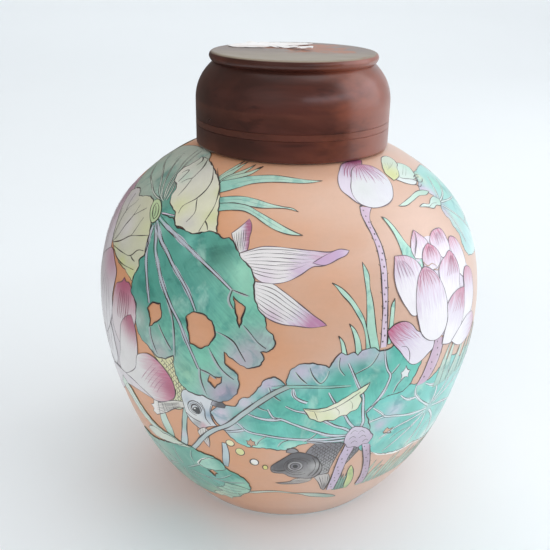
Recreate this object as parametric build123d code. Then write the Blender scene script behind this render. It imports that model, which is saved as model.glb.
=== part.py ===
from build123d import *
import os

# Ginger jar: a one-piece glazed porcelain body under a one-piece turned hardwood lid,
# with the remnant of a paper label glued on top of the lid.
# Millimetres, +Z up. The origin is the centre of the foot, on the surface that the jar
# stands on. The decorated front faces -Y.

# ---- Porcelain body -------------------------------------------------------------------
FOOT_RADIUS = 58.6          # outer edge of the foot ring, where it meets the table
BELLY_RADIUS = 100.5        # widest part of the body
BELLY_HEIGHT = 108.0        # height of the widest part
SHOULDER_HEIGHT = 188.3     # flat ledge around the neck, where the lid rests
LEDGE_RADIUS = 45.5         # outer edge of that ledge
# Points of the outer wall between those three places: (radius, height).
LOWER_WALL = [(68.6, 12.0), (83.3, 36.0), (94.2, 66.0)]
UPPER_WALL = [(98.4, 131.0), (88.8, 156.0), (76.5, 170.0), (62.7, 180.0)]
LEDGE_SLOPE = (-1.0, 0.38)  # direction in which the shoulder runs out into the ledge

WALL = 5.2                  # wall thickness, measured across the wall
FLOOR_HEIGHT = 10.0         # inside floor
FLOOR_RADIUS = 50.0         # where the inside floor turns up into the wall
CEILING = (46.5, 182.2)     # inside, under the ledge: radius, height

NECK_RADIUS = 42.0          # outside of the short upright neck
NECK_WALL = 4.8
NECK_HEIGHT = 18.0          # above the shoulder ledge
NECK_ROOT_FILLET = 1.2

FOOT_RING_WIDTH = 5.5       # the unglazed ring that touches the table
FOOT_RECESS = 4.0           # depth of the recessed base inside the ring
FOOT_EDGE_ROUND = 1.0

# ---- Turned lid -----------------------------------------------------------------------
LID_RADIUS = 48.5           # upright wall
LID_WALL_TOP = 22.0         # where the upright wall turns into the curved shoulder
LID_EDGE_ROUND = 1.5        # rounded bottom edge, outside
LID_SHOULDER = (46.9, 30.4) # a point on the curved shoulder: radius, height
LID_GROOVE = (39.9, 39.9)   # bottom of the groove under the bead: radius, height
BEAD_RADIUS = 41.65         # rounded bead around the top
BEAD_HEIGHT = 42.7          # height of the bead's fullest point
LID_HEIGHT = 45.0           # flat top face
TOP_FACE_RADIUS = 39.4      # where the top face rounds over into the bead

LINE_HEIGHTS = (10.4, 13.6) # pair of incised lines around the upright wall
LINE_DEPTH = 0.22
LINE_WIDTH = 0.7

RECESS_RADIUS = 43.2        # hollow that drops over the neck, 1.2 mm clear all round
RECESS_DEPTH = 26.0
RECESS_CORNER = 3.0

# ---- Paper label remnant --------------------------------------------------------------
LABEL_THICKNESS = 0.3
LABEL_CENTRE = (-13.0, 18.0)    # on the lid's top face
LABEL_TURN = -4.0
# Torn outline about that centre: (x, y).
LABEL_OUTLINE = [
    (-18.0, -3.5), (-9.0, -7.0), (-1.5, -5.0), (6.5, -8.5), (13.0, -6.5), (20.0, -9.0),
    (22.5, -6.0), (16.0, -2.5), (18.5, 2.0), (11.0, 5.5), (3.0, 8.0), (-6.0, 9.5), (-14.5, 6.0),
]


def turned(outline):
    """Solid of revolution about Z from closed (radius, height) edges."""
    face = make_face(outline)
    return revolve(Plane.XZ * face, axis=Axis.Z, revolution_arc=360)


def outer_wall():
    """The body's outside, from the foot's edge up to the shoulder ledge."""
    lower = [(FOOT_RADIUS, 0.0)] + LOWER_WALL
    upper = UPPER_WALL + [(LEDGE_RADIUS, SHOULDER_HEIGHT)]
    points = lower + [(BELLY_RADIUS, BELLY_HEIGHT)] + upper
    foot_slope = (LOWER_WALL[0][0] - FOOT_RADIUS, LOWER_WALL[0][1])
    return Spline(*points, tangents=[foot_slope, LEDGE_SLOPE])


def inner_wall(outside, rows=9):
    """The inside of the wall: one wall thickness in from the outside, along its normals."""
    points = [(FLOOR_RADIUS, FLOOR_HEIGHT)]
    first, last = 0.12, 0.92
    for row in range(rows):
        along = first + (last - first) * row / (rows - 1)
        place = outside.position_at(along)
        run = outside.tangent_at(along)
        points.append((place.X - WALL * run.Y, place.Y + WALL * run.X))
    points.append(CEILING)
    return Spline(*points)


def neck_bend(inside):
    """The inside bend from under the ledge up into the neck."""
    neck_inside = NECK_RADIUS - NECK_WALL
    run = inside.tangent_at(1)
    corner = (neck_inside, CEILING[1] + (CEILING[0] - neck_inside) * abs(run.Y / run.X))
    return Bezier(CEILING, corner, (neck_inside, SHOULDER_HEIGHT + 1.0))


def make_body():
    neck_inside = NECK_RADIUS - NECK_WALL
    neck_top = SHOULDER_HEIGHT + NECK_HEIGHT
    ring_inside = FOOT_RADIUS - FOOT_RING_WIDTH
    outside = outer_wall()
    inside = inner_wall(outside)
    neck_start = (neck_inside, SHOULDER_HEIGHT + 1.0)
    rim = [
        Line((LEDGE_RADIUS, SHOULDER_HEIGHT), (NECK_RADIUS, SHOULDER_HEIGHT)),
        Line((NECK_RADIUS, SHOULDER_HEIGHT), (NECK_RADIUS, neck_top)),
        Line((NECK_RADIUS, neck_top), (neck_inside, neck_top)),
        Line((neck_inside, neck_top), neck_start),
    ]
    floor = [
        Line((0, FLOOR_HEIGHT), (FLOOR_RADIUS, FLOOR_HEIGHT)),
        Line((0, FLOOR_HEIGHT), (0, FOOT_RECESS)),
        Line((0, FOOT_RECESS), (ring_inside - 1.0, FOOT_RECESS)),
        Line((ring_inside - 1.0, FOOT_RECESS), (ring_inside, 0)),
        Line((ring_inside, 0), (FOOT_RADIUS, 0)),
    ]
    body = turned(rim + floor + [outside, inside, neck_bend(inside)])
    rounds = [
        (NECK_RADIUS, neck_top, NECK_WALL * 0.45),
        (neck_inside, neck_top, NECK_WALL * 0.45),
        (NECK_RADIUS, SHOULDER_HEIGHT, NECK_ROOT_FILLET),
        (FOOT_RADIUS, 0.0, FOOT_EDGE_ROUND),
        (ring_inside, 0.0, FOOT_EDGE_ROUND),
    ]
    for radius, height, size in rounds:
        body = fillet(ring_edge(body, radius, height), size)
    return body


def ring_edge(solid, radius, height):
    """The circular edge of that radius at that height."""
    rings = solid.edges().filter_by(GeomType.CIRCLE)
    return [e for e in rings if abs(e.radius - radius) < 0.02 and abs(e.center().Z - height) < 0.02]


def incised(height):
    """V-shaped ring cut into the lid's upright wall at that height."""
    half = LINE_WIDTH / 2
    edge = LID_RADIUS + 0.2
    cut = Polyline(
        (edge, height - half), (LID_RADIUS - LINE_DEPTH, height), (edge, height + half), close=True
    )
    return turned(cut)


def make_lid():
    """The lid, built with its bottom edge at height 0."""
    recess_top = RECESS_DEPTH
    wall_start = (LID_RADIUS, LID_EDGE_ROUND)
    foot_start = (LID_RADIUS - LID_EDGE_ROUND, 0)
    shoulder = Spline(
        (LID_RADIUS, LID_WALL_TOP), LID_SHOULDER, LID_GROOVE, tangents=[(0, 1), (-0.75, 0.66)]
    )
    bead_low = ThreePointArc(
        LID_GROOVE, (BEAD_RADIUS - 0.55, BEAD_HEIGHT - 1.5), (BEAD_RADIUS, BEAD_HEIGHT)
    )
    bead_high = ThreePointArc(
        (BEAD_RADIUS, BEAD_HEIGHT), (BEAD_RADIUS - 0.66, LID_HEIGHT - 0.66), (TOP_FACE_RADIUS, LID_HEIGHT)
    )
    outline = [
        Line(foot_start, (RECESS_RADIUS, 0)),
        Line((RECESS_RADIUS, 0), (RECESS_RADIUS, recess_top)),
        Line((RECESS_RADIUS, recess_top), (0, recess_top)),
        Line((0, recess_top), (0, LID_HEIGHT)),
        Line((0, LID_HEIGHT), (TOP_FACE_RADIUS, LID_HEIGHT)),
        bead_high,
        bead_low,
        shoulder,
        Line((LID_RADIUS, LID_WALL_TOP), wall_start),
        RadiusArc(wall_start, foot_start, LID_EDGE_ROUND),
    ]
    lid = turned(outline)
    lid = fillet(ring_edge(lid, RECESS_RADIUS, recess_top), RECESS_CORNER)
    for height in LINE_HEIGHTS:
        lid = lid - incised(height)
    return Pos(0, 0, SHOULDER_HEIGHT) * lid


def make_label():
    """Thin torn paper, glued flat on the lid's top face."""
    sheet = extrude(make_face(Polyline(*LABEL_OUTLINE, close=True)), LABEL_THICKNESS)
    top = SHOULDER_HEIGHT + LID_HEIGHT
    return Pos(*LABEL_CENTRE, top) * Rot(0, 0, LABEL_TURN) * sheet


def main():
    os.makedirs("parts", exist_ok=True)
    pieces = {"jar_body": make_body(), "wooden_lid": make_lid(), "paper_label": make_label()}
    for name, piece in pieces.items():
        export_step(piece, f"parts/{name}.step")


main()
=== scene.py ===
import math
import random

import bpy
import numpy as np
from mathutils import Matrix, Vector
from mathutils.geometry import delaunay_2d_cdt


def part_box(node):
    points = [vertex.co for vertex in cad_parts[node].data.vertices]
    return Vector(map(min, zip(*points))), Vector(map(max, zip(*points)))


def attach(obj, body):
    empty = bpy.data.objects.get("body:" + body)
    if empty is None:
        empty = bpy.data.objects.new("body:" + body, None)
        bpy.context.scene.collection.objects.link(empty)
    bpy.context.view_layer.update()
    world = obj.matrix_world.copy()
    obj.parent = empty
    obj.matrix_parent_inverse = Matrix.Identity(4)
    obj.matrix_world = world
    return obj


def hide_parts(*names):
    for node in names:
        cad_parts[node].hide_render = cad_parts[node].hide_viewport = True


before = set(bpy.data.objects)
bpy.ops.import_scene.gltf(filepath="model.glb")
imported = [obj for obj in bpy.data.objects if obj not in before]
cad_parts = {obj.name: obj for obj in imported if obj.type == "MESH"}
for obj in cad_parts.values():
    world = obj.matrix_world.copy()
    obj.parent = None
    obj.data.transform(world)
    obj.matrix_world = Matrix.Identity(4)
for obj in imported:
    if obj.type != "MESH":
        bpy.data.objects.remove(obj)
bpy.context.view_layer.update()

# The looks of the ginger jar: coral ground and pond scene in enamel on the porcelain body,
# a waxed rosewood lid and a torn paper remnant.
# Places on the wall are (angle, climb): angle in degrees, 0 facing -Y and growing towards
# +X, and climb in millimetres along the wall from the foot's edge. Lifts and widths are
# millimetres too.
MM = 0.001
random.seed(7)

FOOT_ROUND = 1.2            # the wall is read above the foot's rounded edge
LEDGE_EDGE = 45.4           # radius where the wall ends and the ledge begins
OUTWARD = 0.1               # the wall's normals point outwards by more than this share
WALL_STEP = 0.5             # spacing of the points along the wall's profile
WALL_TOP_GAP = 0.8          # paint stays this far below the wall's upper end
GROUND_LIFT = 0.05          # coral ground above the porcelain
GROUND_UNDER = 0.01         # and its underside
GROUND_GAPS = (1.3, 1.0)    # bare wall below and above the ground
ENAMEL_FOOT = 0.02          # painted areas reach down to here, inside the ground
FILL_STEP = 0.03            # each painted area lies this much above the one before
BAND_LIFT = 0.010           # pale bands above their area
INK_LIFT = 0.015            # ink lines above their area
GRID = 2.2                  # spacing of the points inside a painted area
EDGE_STEP = 1.1             # spacing of the points along an outline
RIM_GAP = 0.42              # grid points keep this share of the grid's spacing from an outline
CORNER_DEG = 62             # an outline turns sharply past this angle
HOLE_CORNER_DEG = 25        # and a hole's outline past this one
HOLE_INK = 1.2              # a hole's outline is this much wider than its area's
RIBBON_DEPTH = 0.035        # ink lines and pale bands are this thick
HAND_WAVES = ((14 / 22, 5.0), (8 / 22, 3.1))      # (share, length) of a hand's waver
BRUSH_SWELLS = ((0.26, 5.1), (0.22, 1.9))         # (share, length) of a brush line's swell
BRUSH_MEAN = 0.88           # a line's mean width as a share of its nominal one
END_SHARE = 5               # a line tapers over one part in this many at each end

FRONT = ("", 0.0, 1.0)          # name prefix, turn and squeeze of the front of the jar
BACK = ("back_", 180.0, -0.84)  # the same pond goes on round the back, mirrored and closer
RIGHT = ("right_", 92.0, 1.0)   # where front and back meet
LEFT = ("left_", -91.0, -1.1)


# ---- Colours: sRGB hex codes until a mesh or a node takes them -----------------------------
def rgb(code):
    """A linear colour from its sRGB hex code."""
    parts = [int(code[i:i + 2], 16) / 255 for i in (0, 2, 4)]
    return np.array([c / 12.92 if c <= 0.04045 else ((c + 0.055) / 1.055) ** 2.4 for c in parts])


CORAL = "d79c76"
TEAL = "4fa08f"
DEEP_TEAL = "2c7f6c"
MINT = "7fd0b4"
PALE_MINT = "c3e3d2"
SAGE = "a9b8a2"
LILAC = "b7a0b4"
PALE_LILAC = "d8c9da"
CREAM = "ece6bb"
YELLOW_GREEN = "cfd48c"
PETAL = "eeeaed"
MAGENTA = "c0597f"
LOTUS_ROSE = "ae5270"
WHITE = "f3f0ea"
GRASS_EDGE = "76857a"
PETAL_EDGE = "5f4c58"
INK_TINT = "34292a"


# ---- The wall of the jar ----------------------------------------------------------------
def smooth_run(points, step):
    """Points every step along the smooth open curve through points."""
    p = np.asarray(points, float)
    if len(p) < 3:
        count = max(2, int(np.linalg.norm(p[-1] - p[0]) / step) + 1)
        return p[0] + (p[-1] - p[0]) * np.linspace(0, 1, count)[:, None]
    gap = np.maximum(np.linalg.norm(np.diff(p, axis=0), axis=1), 1e-6)
    slope = np.diff(p, axis=0) / gap[:, None]
    before, after = gap[:-1, None], gap[1:, None]
    inner = (slope[:-1] * after + slope[1:] * before) / (before + after)
    first = 1.5 * slope[0] - 0.5 * inner[0]
    last = 1.5 * slope[-1] - 0.5 * inner[-1]
    tangent = np.vstack([first, inner, last])
    rows = []
    for i, length in enumerate(gap):
        count = max(1, int(round(length / step)))
        t = (np.arange(count) / count)[:, None]
        rows.append(
            (2 * t**3 - 3 * t**2 + 1) * p[i]
            + (t**3 - 2 * t**2 + t) * length * tangent[i]
            + (3 * t**2 - 2 * t**3) * p[i + 1]
            + (t**3 - t**2) * length * tangent[i + 1]
        )
    return np.vstack(rows + [p[-1:]])


def corners_of(p, limit):
    """Places in the closed outline p where it turns by more than limit degrees."""
    ahead = np.roll(p, -1, axis=0) - p
    behind = p - np.roll(p, 1, axis=0)
    turn = np.arctan2(ahead[:, 1], ahead[:, 0]) - np.arctan2(behind[:, 1], behind[:, 0])
    turn = np.abs((turn + math.pi) % (2 * math.pi) - math.pi)
    return np.flatnonzero(turn > math.radians(limit))


def smooth_loop(points, step, limit=CORNER_DEG):
    """Points every step around the closed outline, smooth except at its sharp corners."""
    p = np.asarray(points, float)
    sharp = corners_of(p, limit)
    if len(sharp) == 0:
        wrapped = np.vstack([p[-3:], p, p[:3]])
        run = smooth_run(wrapped, step)
        start = int(np.argmin(np.linalg.norm(run[: len(run) // 2] - p[0], axis=1)))
        tail = len(run) // 2
        end = tail + int(np.argmin(np.linalg.norm(run[tail:] - p[0], axis=1)))
        return run[start:end]
    p = np.roll(p, -sharp[0], axis=0)
    stops = list(sharp - sharp[0]) + [len(p)]
    closed = np.vstack([p, p[:1]])
    runs = [smooth_run(closed[a:b + 1], step)[:-1] for a, b in zip(stops[:-1], stops[1:])]
    return np.vstack(runs)


class Wall:
    """The outside of the porcelain body, read from the CAD node."""

    def __init__(self, body):
        mesh = body.data
        co = np.array([v.co for v in mesh.vertices]) / MM
        normal = np.array([v.normal for v in mesh.vertices])
        radius = np.hypot(co[:, 0], co[:, 1])
        outward = (normal[:, :2] * co[:, :2]).sum(1) / np.maximum(radius, 1)
        keep = (radius > LEDGE_EDGE) & (outward > OUTWARD) & (co[:, 2] > FOOT_ROUND)
        rings = {}
        for r, z in zip(radius[keep], co[keep, 2]):
            rings[round(z, 1)] = max((r, z), rings.get(round(z, 1), (0, 0)))
        line = np.array(sorted(rings.values(), key=lambda ring: ring[1]))
        foot = line[0] + (line[0] - line[1]) * line[0][1] / (line[1][1] - line[0][1])
        line = smooth_run(np.vstack([foot, line]), WALL_STEP)
        self.climb = np.concatenate([[0], np.cumsum(np.linalg.norm(np.diff(line, axis=0), axis=1))])
        self.line = line
        run = np.gradient(line, axis=0)
        run /= np.linalg.norm(run, axis=1)[:, None]
        self.out = np.column_stack([run[:, 1], -run[:, 0]])

    def at(self, angle, climb, lift):
        """Points and normals, in metres, at those places."""
        angle, climb = np.radians(np.asarray(angle, float)), np.asarray(climb, float)
        climb = np.clip(climb, 0, self.climb[-1] - WALL_TOP_GAP)
        r, z, out_r, out_z = (
            np.interp(climb, self.climb, column)
            for column in (self.line[:, 0], self.line[:, 1], self.out[:, 0], self.out[:, 1])
        )
        side, front = np.sin(angle), -np.cos(angle)
        normal = np.stack([out_r * side, out_r * front, out_z], -1)
        point = np.stack([r * side, r * front, z], -1) + np.asarray(lift)[..., None] * normal
        return point * MM, normal

    def radius(self, climb):
        return float(np.interp(climb, self.climb, self.line[:, 0]))


wall = Wall(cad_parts["jar_body"])


# ---- Painted pieces ---------------------------------------------------------------------
def new_object(name, data):
    """An object in the scene that shows data."""
    made = bpy.data.objects.new(name, data)
    bpy.context.scene.collection.objects.link(made)
    return made


def new_mesh(name, points, faces, materials, smooth=False):
    """A mesh of those points, in metres, and faces."""
    mesh = bpy.data.meshes.new(name)
    mesh.from_pydata(points, [], faces)
    for material in materials:
        mesh.materials.append(material)
    mesh.polygons.foreach_set("use_smooth", [smooth] * len(faces))
    return mesh


def phase():
    """Where a wave starts, drawn at random."""
    return random.uniform(0, 6)


def inside(points, loop):
    """Which points lie inside the closed loop."""
    x, y = points[:, 0][:, None], points[:, 1][:, None]
    a, b = loop, np.roll(loop, -1, axis=0)
    crosses = (a[:, 1] > y) != (b[:, 1] > y)
    rise = np.where(np.abs(b[:, 1] - a[:, 1]) < 1e-12, 1e-12, b[:, 1] - a[:, 1])
    return (crosses & (x < (b[:, 0] - a[:, 0]) * (y - a[:, 1]) / rise + a[:, 0])).sum(1) % 2 == 1


def filled(loops, spacing):
    """Triangles that fill the first loop, less the others: the points, the triangles, and the
    pairs of points along the rim."""
    low, high = loops[0].min(0), loops[0].max(0)
    grid = np.mgrid[low[0]:high[0]:spacing, low[1]:high[1]:spacing].reshape(2, -1).T
    grid = grid + (np.round(grid[:, 1:] / spacing) % 2) * np.array([[spacing / 2, 0]])
    edge_points = np.vstack(loops)

    def kept(points):
        keep = inside(points, loops[0])
        for hole in loops[1:]:
            keep &= ~inside(points, hole)
        return keep

    grid = grid[kept(grid)]
    if len(grid):
        near = np.linalg.norm(grid[:, None] - edge_points[None], axis=2).min(1)
        grid = grid[near > spacing * RIM_GAP]
    edges, first = [], 0
    for loop in loops:
        edges += [(first + i, first + (i + 1) % len(loop)) for i in range(len(loop))]
        first += len(loop)
    places = [Vector(q) for q in np.vstack([edge_points, grid])]
    flat, _, triangles = delaunay_2d_cdt(places, edges, [], 0, 1e-4)[:3]
    flat = np.array([tuple(q) for q in flat])
    centres = np.array([flat[list(t)].mean(0) for t in triangles])
    triangles = [t for t, keep in zip(triangles, kept(centres)) if keep]
    used = sorted({i for t in triangles for i in t})
    number = {old: new for new, old in enumerate(used)}
    triangles = [[number[i] for i in t] for t in triangles]
    rim = {}
    for t in triangles:
        for a, b in zip(t, t[1:] + t[:1]):
            if (b, a) in rim:
                del rim[(b, a)]
            else:
                rim[(a, b)] = True
    return flat[used], triangles, list(rim)


def degree_at(places):
    """Millimetres in one degree round the wall, at the middle height of those places."""
    return wall.radius(places[:, 1].mean()) * math.pi / 180


def waver(loop, reach):
    """The loop with the small waver of a hand, up to about reach millimetres."""
    ahead = np.roll(loop, -1, axis=0) - np.roll(loop, 1, axis=0)
    side = np.column_stack([ahead[:, 1], -ahead[:, 0]])
    side /= np.maximum(np.linalg.norm(side, axis=1), 1e-9)[:, None]
    turn = np.arange(len(loop)) / len(loop) * 2 * math.pi
    swing = np.zeros(len(loop))
    for share, length in HAND_WAVES:
        count = max(2, round(len(loop) * EDGE_STEP / length))
        swing += np.sin(turn * count + phase()) * share
    return loop + side * (swing * reach)[:, None]


class Piece:
    """One named mesh of thin closed enamel shells: painted areas with ink lines above them."""

    def __init__(self, name, base, side=FRONT, material=None, edge=INK_TINT):
        """Its first area lies base above the wall. material and edge are what an area is painted
        and outlined with if it doesn't say."""
        prefix, self.turn, self.squeeze = side
        self.name = prefix + name
        self.material, self.edge = material or leaf_enamel, edge
        self.top = self.next = base
        self.points, self.normals, self.faces, self.slots = [], [], [], []
        self.paint = {"tint": [], "wash": [], "blush": [], "grain": []}
        self.materials = []
        self.size = 0

    def place(self, flat, k, lift):
        """Points and normals of flat places, which are (angle * k, climb)."""
        angle = self.turn + self.squeeze * flat[:, 0] / k
        return wall.at(angle, flat[:, 1], lift)

    def add(self, points, normals, faces, material, tint, wash, blush, grain):
        if material not in self.materials:
            self.materials.append(material)
        self.points.append(points)
        self.normals.append(normals)
        self.faces += [[i + self.size for i in face] for face in faces]
        self.slots += [self.materials.index(material)] * len(faces)
        count = len(points)
        self.size += count
        self.paint["tint"].append(np.broadcast_to(tint, (count, 3)))
        self.paint["wash"].append(np.broadcast_to(wash, (count, 3)))
        self.paint["blush"].append(np.broadcast_to(blush, (count,)))
        self.paint["grain"].append(np.broadcast_to(grain, (count, 3)))

    def area(self, outline, tint, wash=None, axis=None, fade=(0.45, 1.0), spots=(), holes=(),
             ink=0.42, material=None, ragged=0.0, edge=None):
        """A painted area. Its tint turns into wash along axis, which is (start, end), between the
        two shares in fade. spots are (angle, climb, reach, colour, strength). Lines that follow
        lie on it, and the next area covers them."""
        outline = np.asarray(outline, float)
        k = degree_at(outline)
        scale = np.array([k, 1.0])
        loops = [smooth_loop(outline * scale, EDGE_STEP)]
        loops += [smooth_loop(np.asarray(hole) * scale, EDGE_STEP, HOLE_CORNER_DEG) for hole in holes]
        if ragged:
            loops = [waver(loop, ragged) for loop in loops]
        flat, triangles, rim = filled(loops, GRID)
        count = len(flat)
        top, out = self.place(flat, k, self.next)
        under, _ = self.place(flat, k, ENAMEL_FOOT)
        faces = triangles + [[i + count for i in t[::-1]] for t in triangles]
        faces += [[b, a, a + count, b + count] for a, b in rim]
        if self.squeeze < 0:
            faces = [face[::-1] for face in faces]
        tints = np.tile(rgb(tint), (count, 1))
        washes = np.tile(rgb(wash or tint), (count, 1))
        for angle, climb, reach, colour, strength in spots:
            gap = np.linalg.norm(flat - np.array([angle * k, climb]), axis=1)
            share = strength * np.exp(-((gap / reach) ** 2))[:, None]
            tints = tints + (rgb(colour) - tints) * share
            washes = washes + (rgb(colour) - washes) * share
        blush, grain = np.zeros(count), np.column_stack([flat, np.zeros(count)])
        if axis is not None:
            start, end = np.array(axis[0]) * scale, np.array(axis[1]) * scale
            length = np.linalg.norm(end - start)
            ahead = (end - start) / length
            along = (flat - start) @ ahead
            across = (flat - start) @ np.array([-ahead[1], ahead[0]])
            grain = np.column_stack([across, along, np.zeros(count)])
            blush = np.clip((along / length - fade[0]) / (fade[1] - fade[0]), 0, 1)
        self.add(
            np.vstack([top, under]), np.vstack([out, -out]), faces, material or self.material,
            np.vstack([tints, tints]), np.vstack([washes, washes]), np.tile(blush, 2),
            np.vstack([grain, grain]),
        )
        self.top = self.next
        self.next += FILL_STEP
        if ink:
            for i, loop in enumerate(loops):
                self.stroke(loop, k, ink * (HOLE_INK if i else 1), 0, True, edge or self.edge, INK_LIFT)

    def line(self, points, width, taper=0.4, closed=False, colour=None):
        """A brush line, or a pale band when it has a colour, on the area painted last."""
        points = np.asarray(points, float)
        k = degree_at(points)
        scaled = points * np.array([k, 1.0])
        run = smooth_loop(scaled, EDGE_STEP) if closed else smooth_run(scaled, EDGE_STEP)
        above = BAND_LIFT if colour else INK_LIFT
        self.stroke(run, k, width, taper, closed, colour or INK_TINT, above)

    def lines(self, runs, width, taper, colour=None):
        for run in runs:
            self.line(run, width, taper, colour=colour)

    def stroke(self, run, k, width, taper, closed, colour, above):
        """A closed ribbon along run, thinner at its ends, with the slight swell of a brush."""
        count = len(run)
        if count < 2:
            return
        middle, out = self.place(run, k, self.top + above)
        if closed:
            ahead = np.roll(middle, -1, axis=0) - np.roll(middle, 1, axis=0)
        else:
            ahead = np.gradient(middle, axis=0)
        ahead /= np.maximum(np.linalg.norm(ahead, axis=1), 1e-9)[:, None]
        side = np.cross(ahead, out)
        share = np.arange(count) / max(count - 1, 1)
        along = np.arange(count) * EDGE_STEP
        swell = sum(size * np.sin(along / length + phase()) for size, length in BRUSH_SWELLS)
        half = width / 2 * (BRUSH_MEAN + swell)
        if not closed:
            ends = np.clip(np.minimum(share, 1 - share) * END_SHARE, 0, 1)
            half = half * (1 - taper + taper * ends)
        half = (half * MM)[:, None]
        corners = [middle - side * half, middle + side * half]
        under = [c - out * RIBBON_DEPTH * MM for c in corners]
        ring = np.stack([*corners, under[1], under[0]], axis=1).reshape(-1, 3)
        faces = []
        for i in range(count if closed else count - 1):
            a, b = 4 * i, 4 * ((i + 1) % count)
            for j in range(4):
                n = (j + 1) % 4
                faces.append([a + j, a + n, b + n, b + j])
        if not closed:
            last = 4 * (count - 1)
            faces += [[3, 2, 1, 0], [last, last + 1, last + 2, last + 3]]
        normals = np.stack([out, out, -out, -out], axis=1).reshape(-1, 3)
        self.add(ring, normals, faces, ink, rgb(colour), rgb(colour), 0.0, np.zeros(3))

    def finish(self):
        """Makes the mesh, with its colours as attributes, and puts it on the jar."""
        points = np.vstack(self.points).tolist()
        mesh = new_mesh(self.name, points, self.faces, self.materials, smooth=True)
        mesh.polygons.foreach_set("material_index", self.slots)
        for name, kind, field, width in (
            ("tint", "FLOAT_COLOR", "color", 4), ("wash", "FLOAT_COLOR", "color", 4),
            ("blush", "FLOAT", "value", 1), ("grain", "FLOAT_VECTOR", "vector", 3),
        ):
            values = np.concatenate(self.paint[name]).reshape(self.size, -1)
            if width == 4:
                values = np.hstack([values, np.ones((self.size, 1))])
            attribute = mesh.attributes.new(name, kind, "POINT")
            attribute.data.foreach_set(field, values.astype(np.float32).ravel())
        mesh.normals_split_custom_set_from_vertices(np.vstack(self.normals).tolist())
        piece = new_object(self.name, mesh)
        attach(piece, "jar")


# ---- Materials --------------------------------------------------------------------------
ENAMEL_ROUGH = 0.42         # roughness of the enamels under their coat
SOFT_COAT, THIN_COAT = 0.38, 0.15                 # roughness of a full coat and of a thinner one


class Nodes:
    """Short calls for building one material's node tree."""

    def __init__(self, name, roughness, specular=0.5, coat=0.0):
        self.material = bpy.data.materials.new(name)
        self.material.use_nodes = True
        self.tree = self.material.node_tree
        self.shader = self.tree.nodes["Principled BSDF"]
        self.shader.inputs["Roughness"].default_value = roughness
        self.shader.inputs["Specular IOR Level"].default_value = specular
        self.shader.inputs["Coat Weight"].default_value = coat
        self.shader.inputs["Coat Roughness"].default_value = SOFT_COAT if coat == 1.0 else THIN_COAT

    def node(self, kind, **values):
        made = self.tree.nodes.new(kind)
        for key, value in values.items():
            setattr(made, key, value)
        return made

    def link(self, source, target):
        """Feeds target from another node's socket, or sets it to a number or a colour."""
        if isinstance(source, (int, float)):
            target.default_value = source
        elif isinstance(source, (str, tuple)):
            values = [float(v) for v in (rgb(source) if isinstance(source, str) else source)]
            target.default_value = values + [1.0] * (len(target.default_value) - len(values))
        else:
            self.tree.links.new(source, target)

    def math(self, operation, *values):
        made = self.node("ShaderNodeMath", operation=operation)
        for value, target in zip(values, made.inputs):
            self.link(value, target)
        return made.outputs[0]

    def noise(self, vector, scale, detail=3.0, rough=0.55, stretch=(1, 1, 1), distortion=0.0):
        mapping = self.node("ShaderNodeMapping")
        mapping.inputs["Scale"].default_value = stretch
        self.link(vector, mapping.inputs["Vector"])
        made = self.node("ShaderNodeTexNoise")
        made.inputs["Scale"].default_value = scale
        made.inputs["Detail"].default_value = detail
        made.inputs["Roughness"].default_value = rough
        made.inputs["Distortion"].default_value = distortion
        self.link(mapping.outputs[0], made.inputs["Vector"])
        return made.outputs["Fac"]

    def split(self, vector):
        made = self.node("ShaderNodeSeparateXYZ")
        self.link(vector, made.inputs[0])
        return made.outputs

    def object_place(self):
        return self.node("ShaderNodeTexCoord").outputs["Object"]

    def attribute(self, name, output):
        return self.node("ShaderNodeAttribute", attribute_name=name).outputs[output]

    def ramp(self, value, low, high):
        """0 below low and 1 above high, smooth between."""
        made = self.node("ShaderNodeMapRange", interpolation_type="SMOOTHSTEP")
        self.link(value, made.inputs["Value"])
        made.inputs["From Min"].default_value = low
        made.inputs["From Max"].default_value = high
        return made.outputs["Result"]

    def mix(self, share, a, b, blend="MIX"):
        made = self.node("ShaderNodeMix", data_type="RGBA", blend_type=blend)
        self.link(share, made.inputs["Factor"])
        self.link(a, made.inputs["A"])
        self.link(b, made.inputs["B"])
        return made.outputs["Result"]

    def over(self, colour, mask, strength, paint, blend="MIX"):
        """paint laid over colour where mask is, at that strength."""
        return self.mix(self.math("MULTIPLY", mask, strength), colour, paint, blend)

    def shade(self, colour, amount, value):
        """colour made darker and lighter by value, which is 0.5 on average."""
        swing = self.math("MULTIPLY_ADD", value, amount, 1.0 - amount / 2)
        grey = self.node("ShaderNodeCombineColor")
        for channel in grey.inputs:
            self.link(swing, channel)
        return self.mix(1.0, colour, grey.outputs[0], "MULTIPLY")

    def bump(self, height, strength, distance):
        made = self.node("ShaderNodeBump")
        made.inputs["Strength"].default_value = strength
        made.inputs["Distance"].default_value = distance
        self.link(height, made.inputs["Height"])
        self.link(made.outputs[0], self.shader.inputs["Normal"])

    def done(self, colour):
        self.link(colour, self.shader.inputs["Base Color"])
        return self.material


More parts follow.
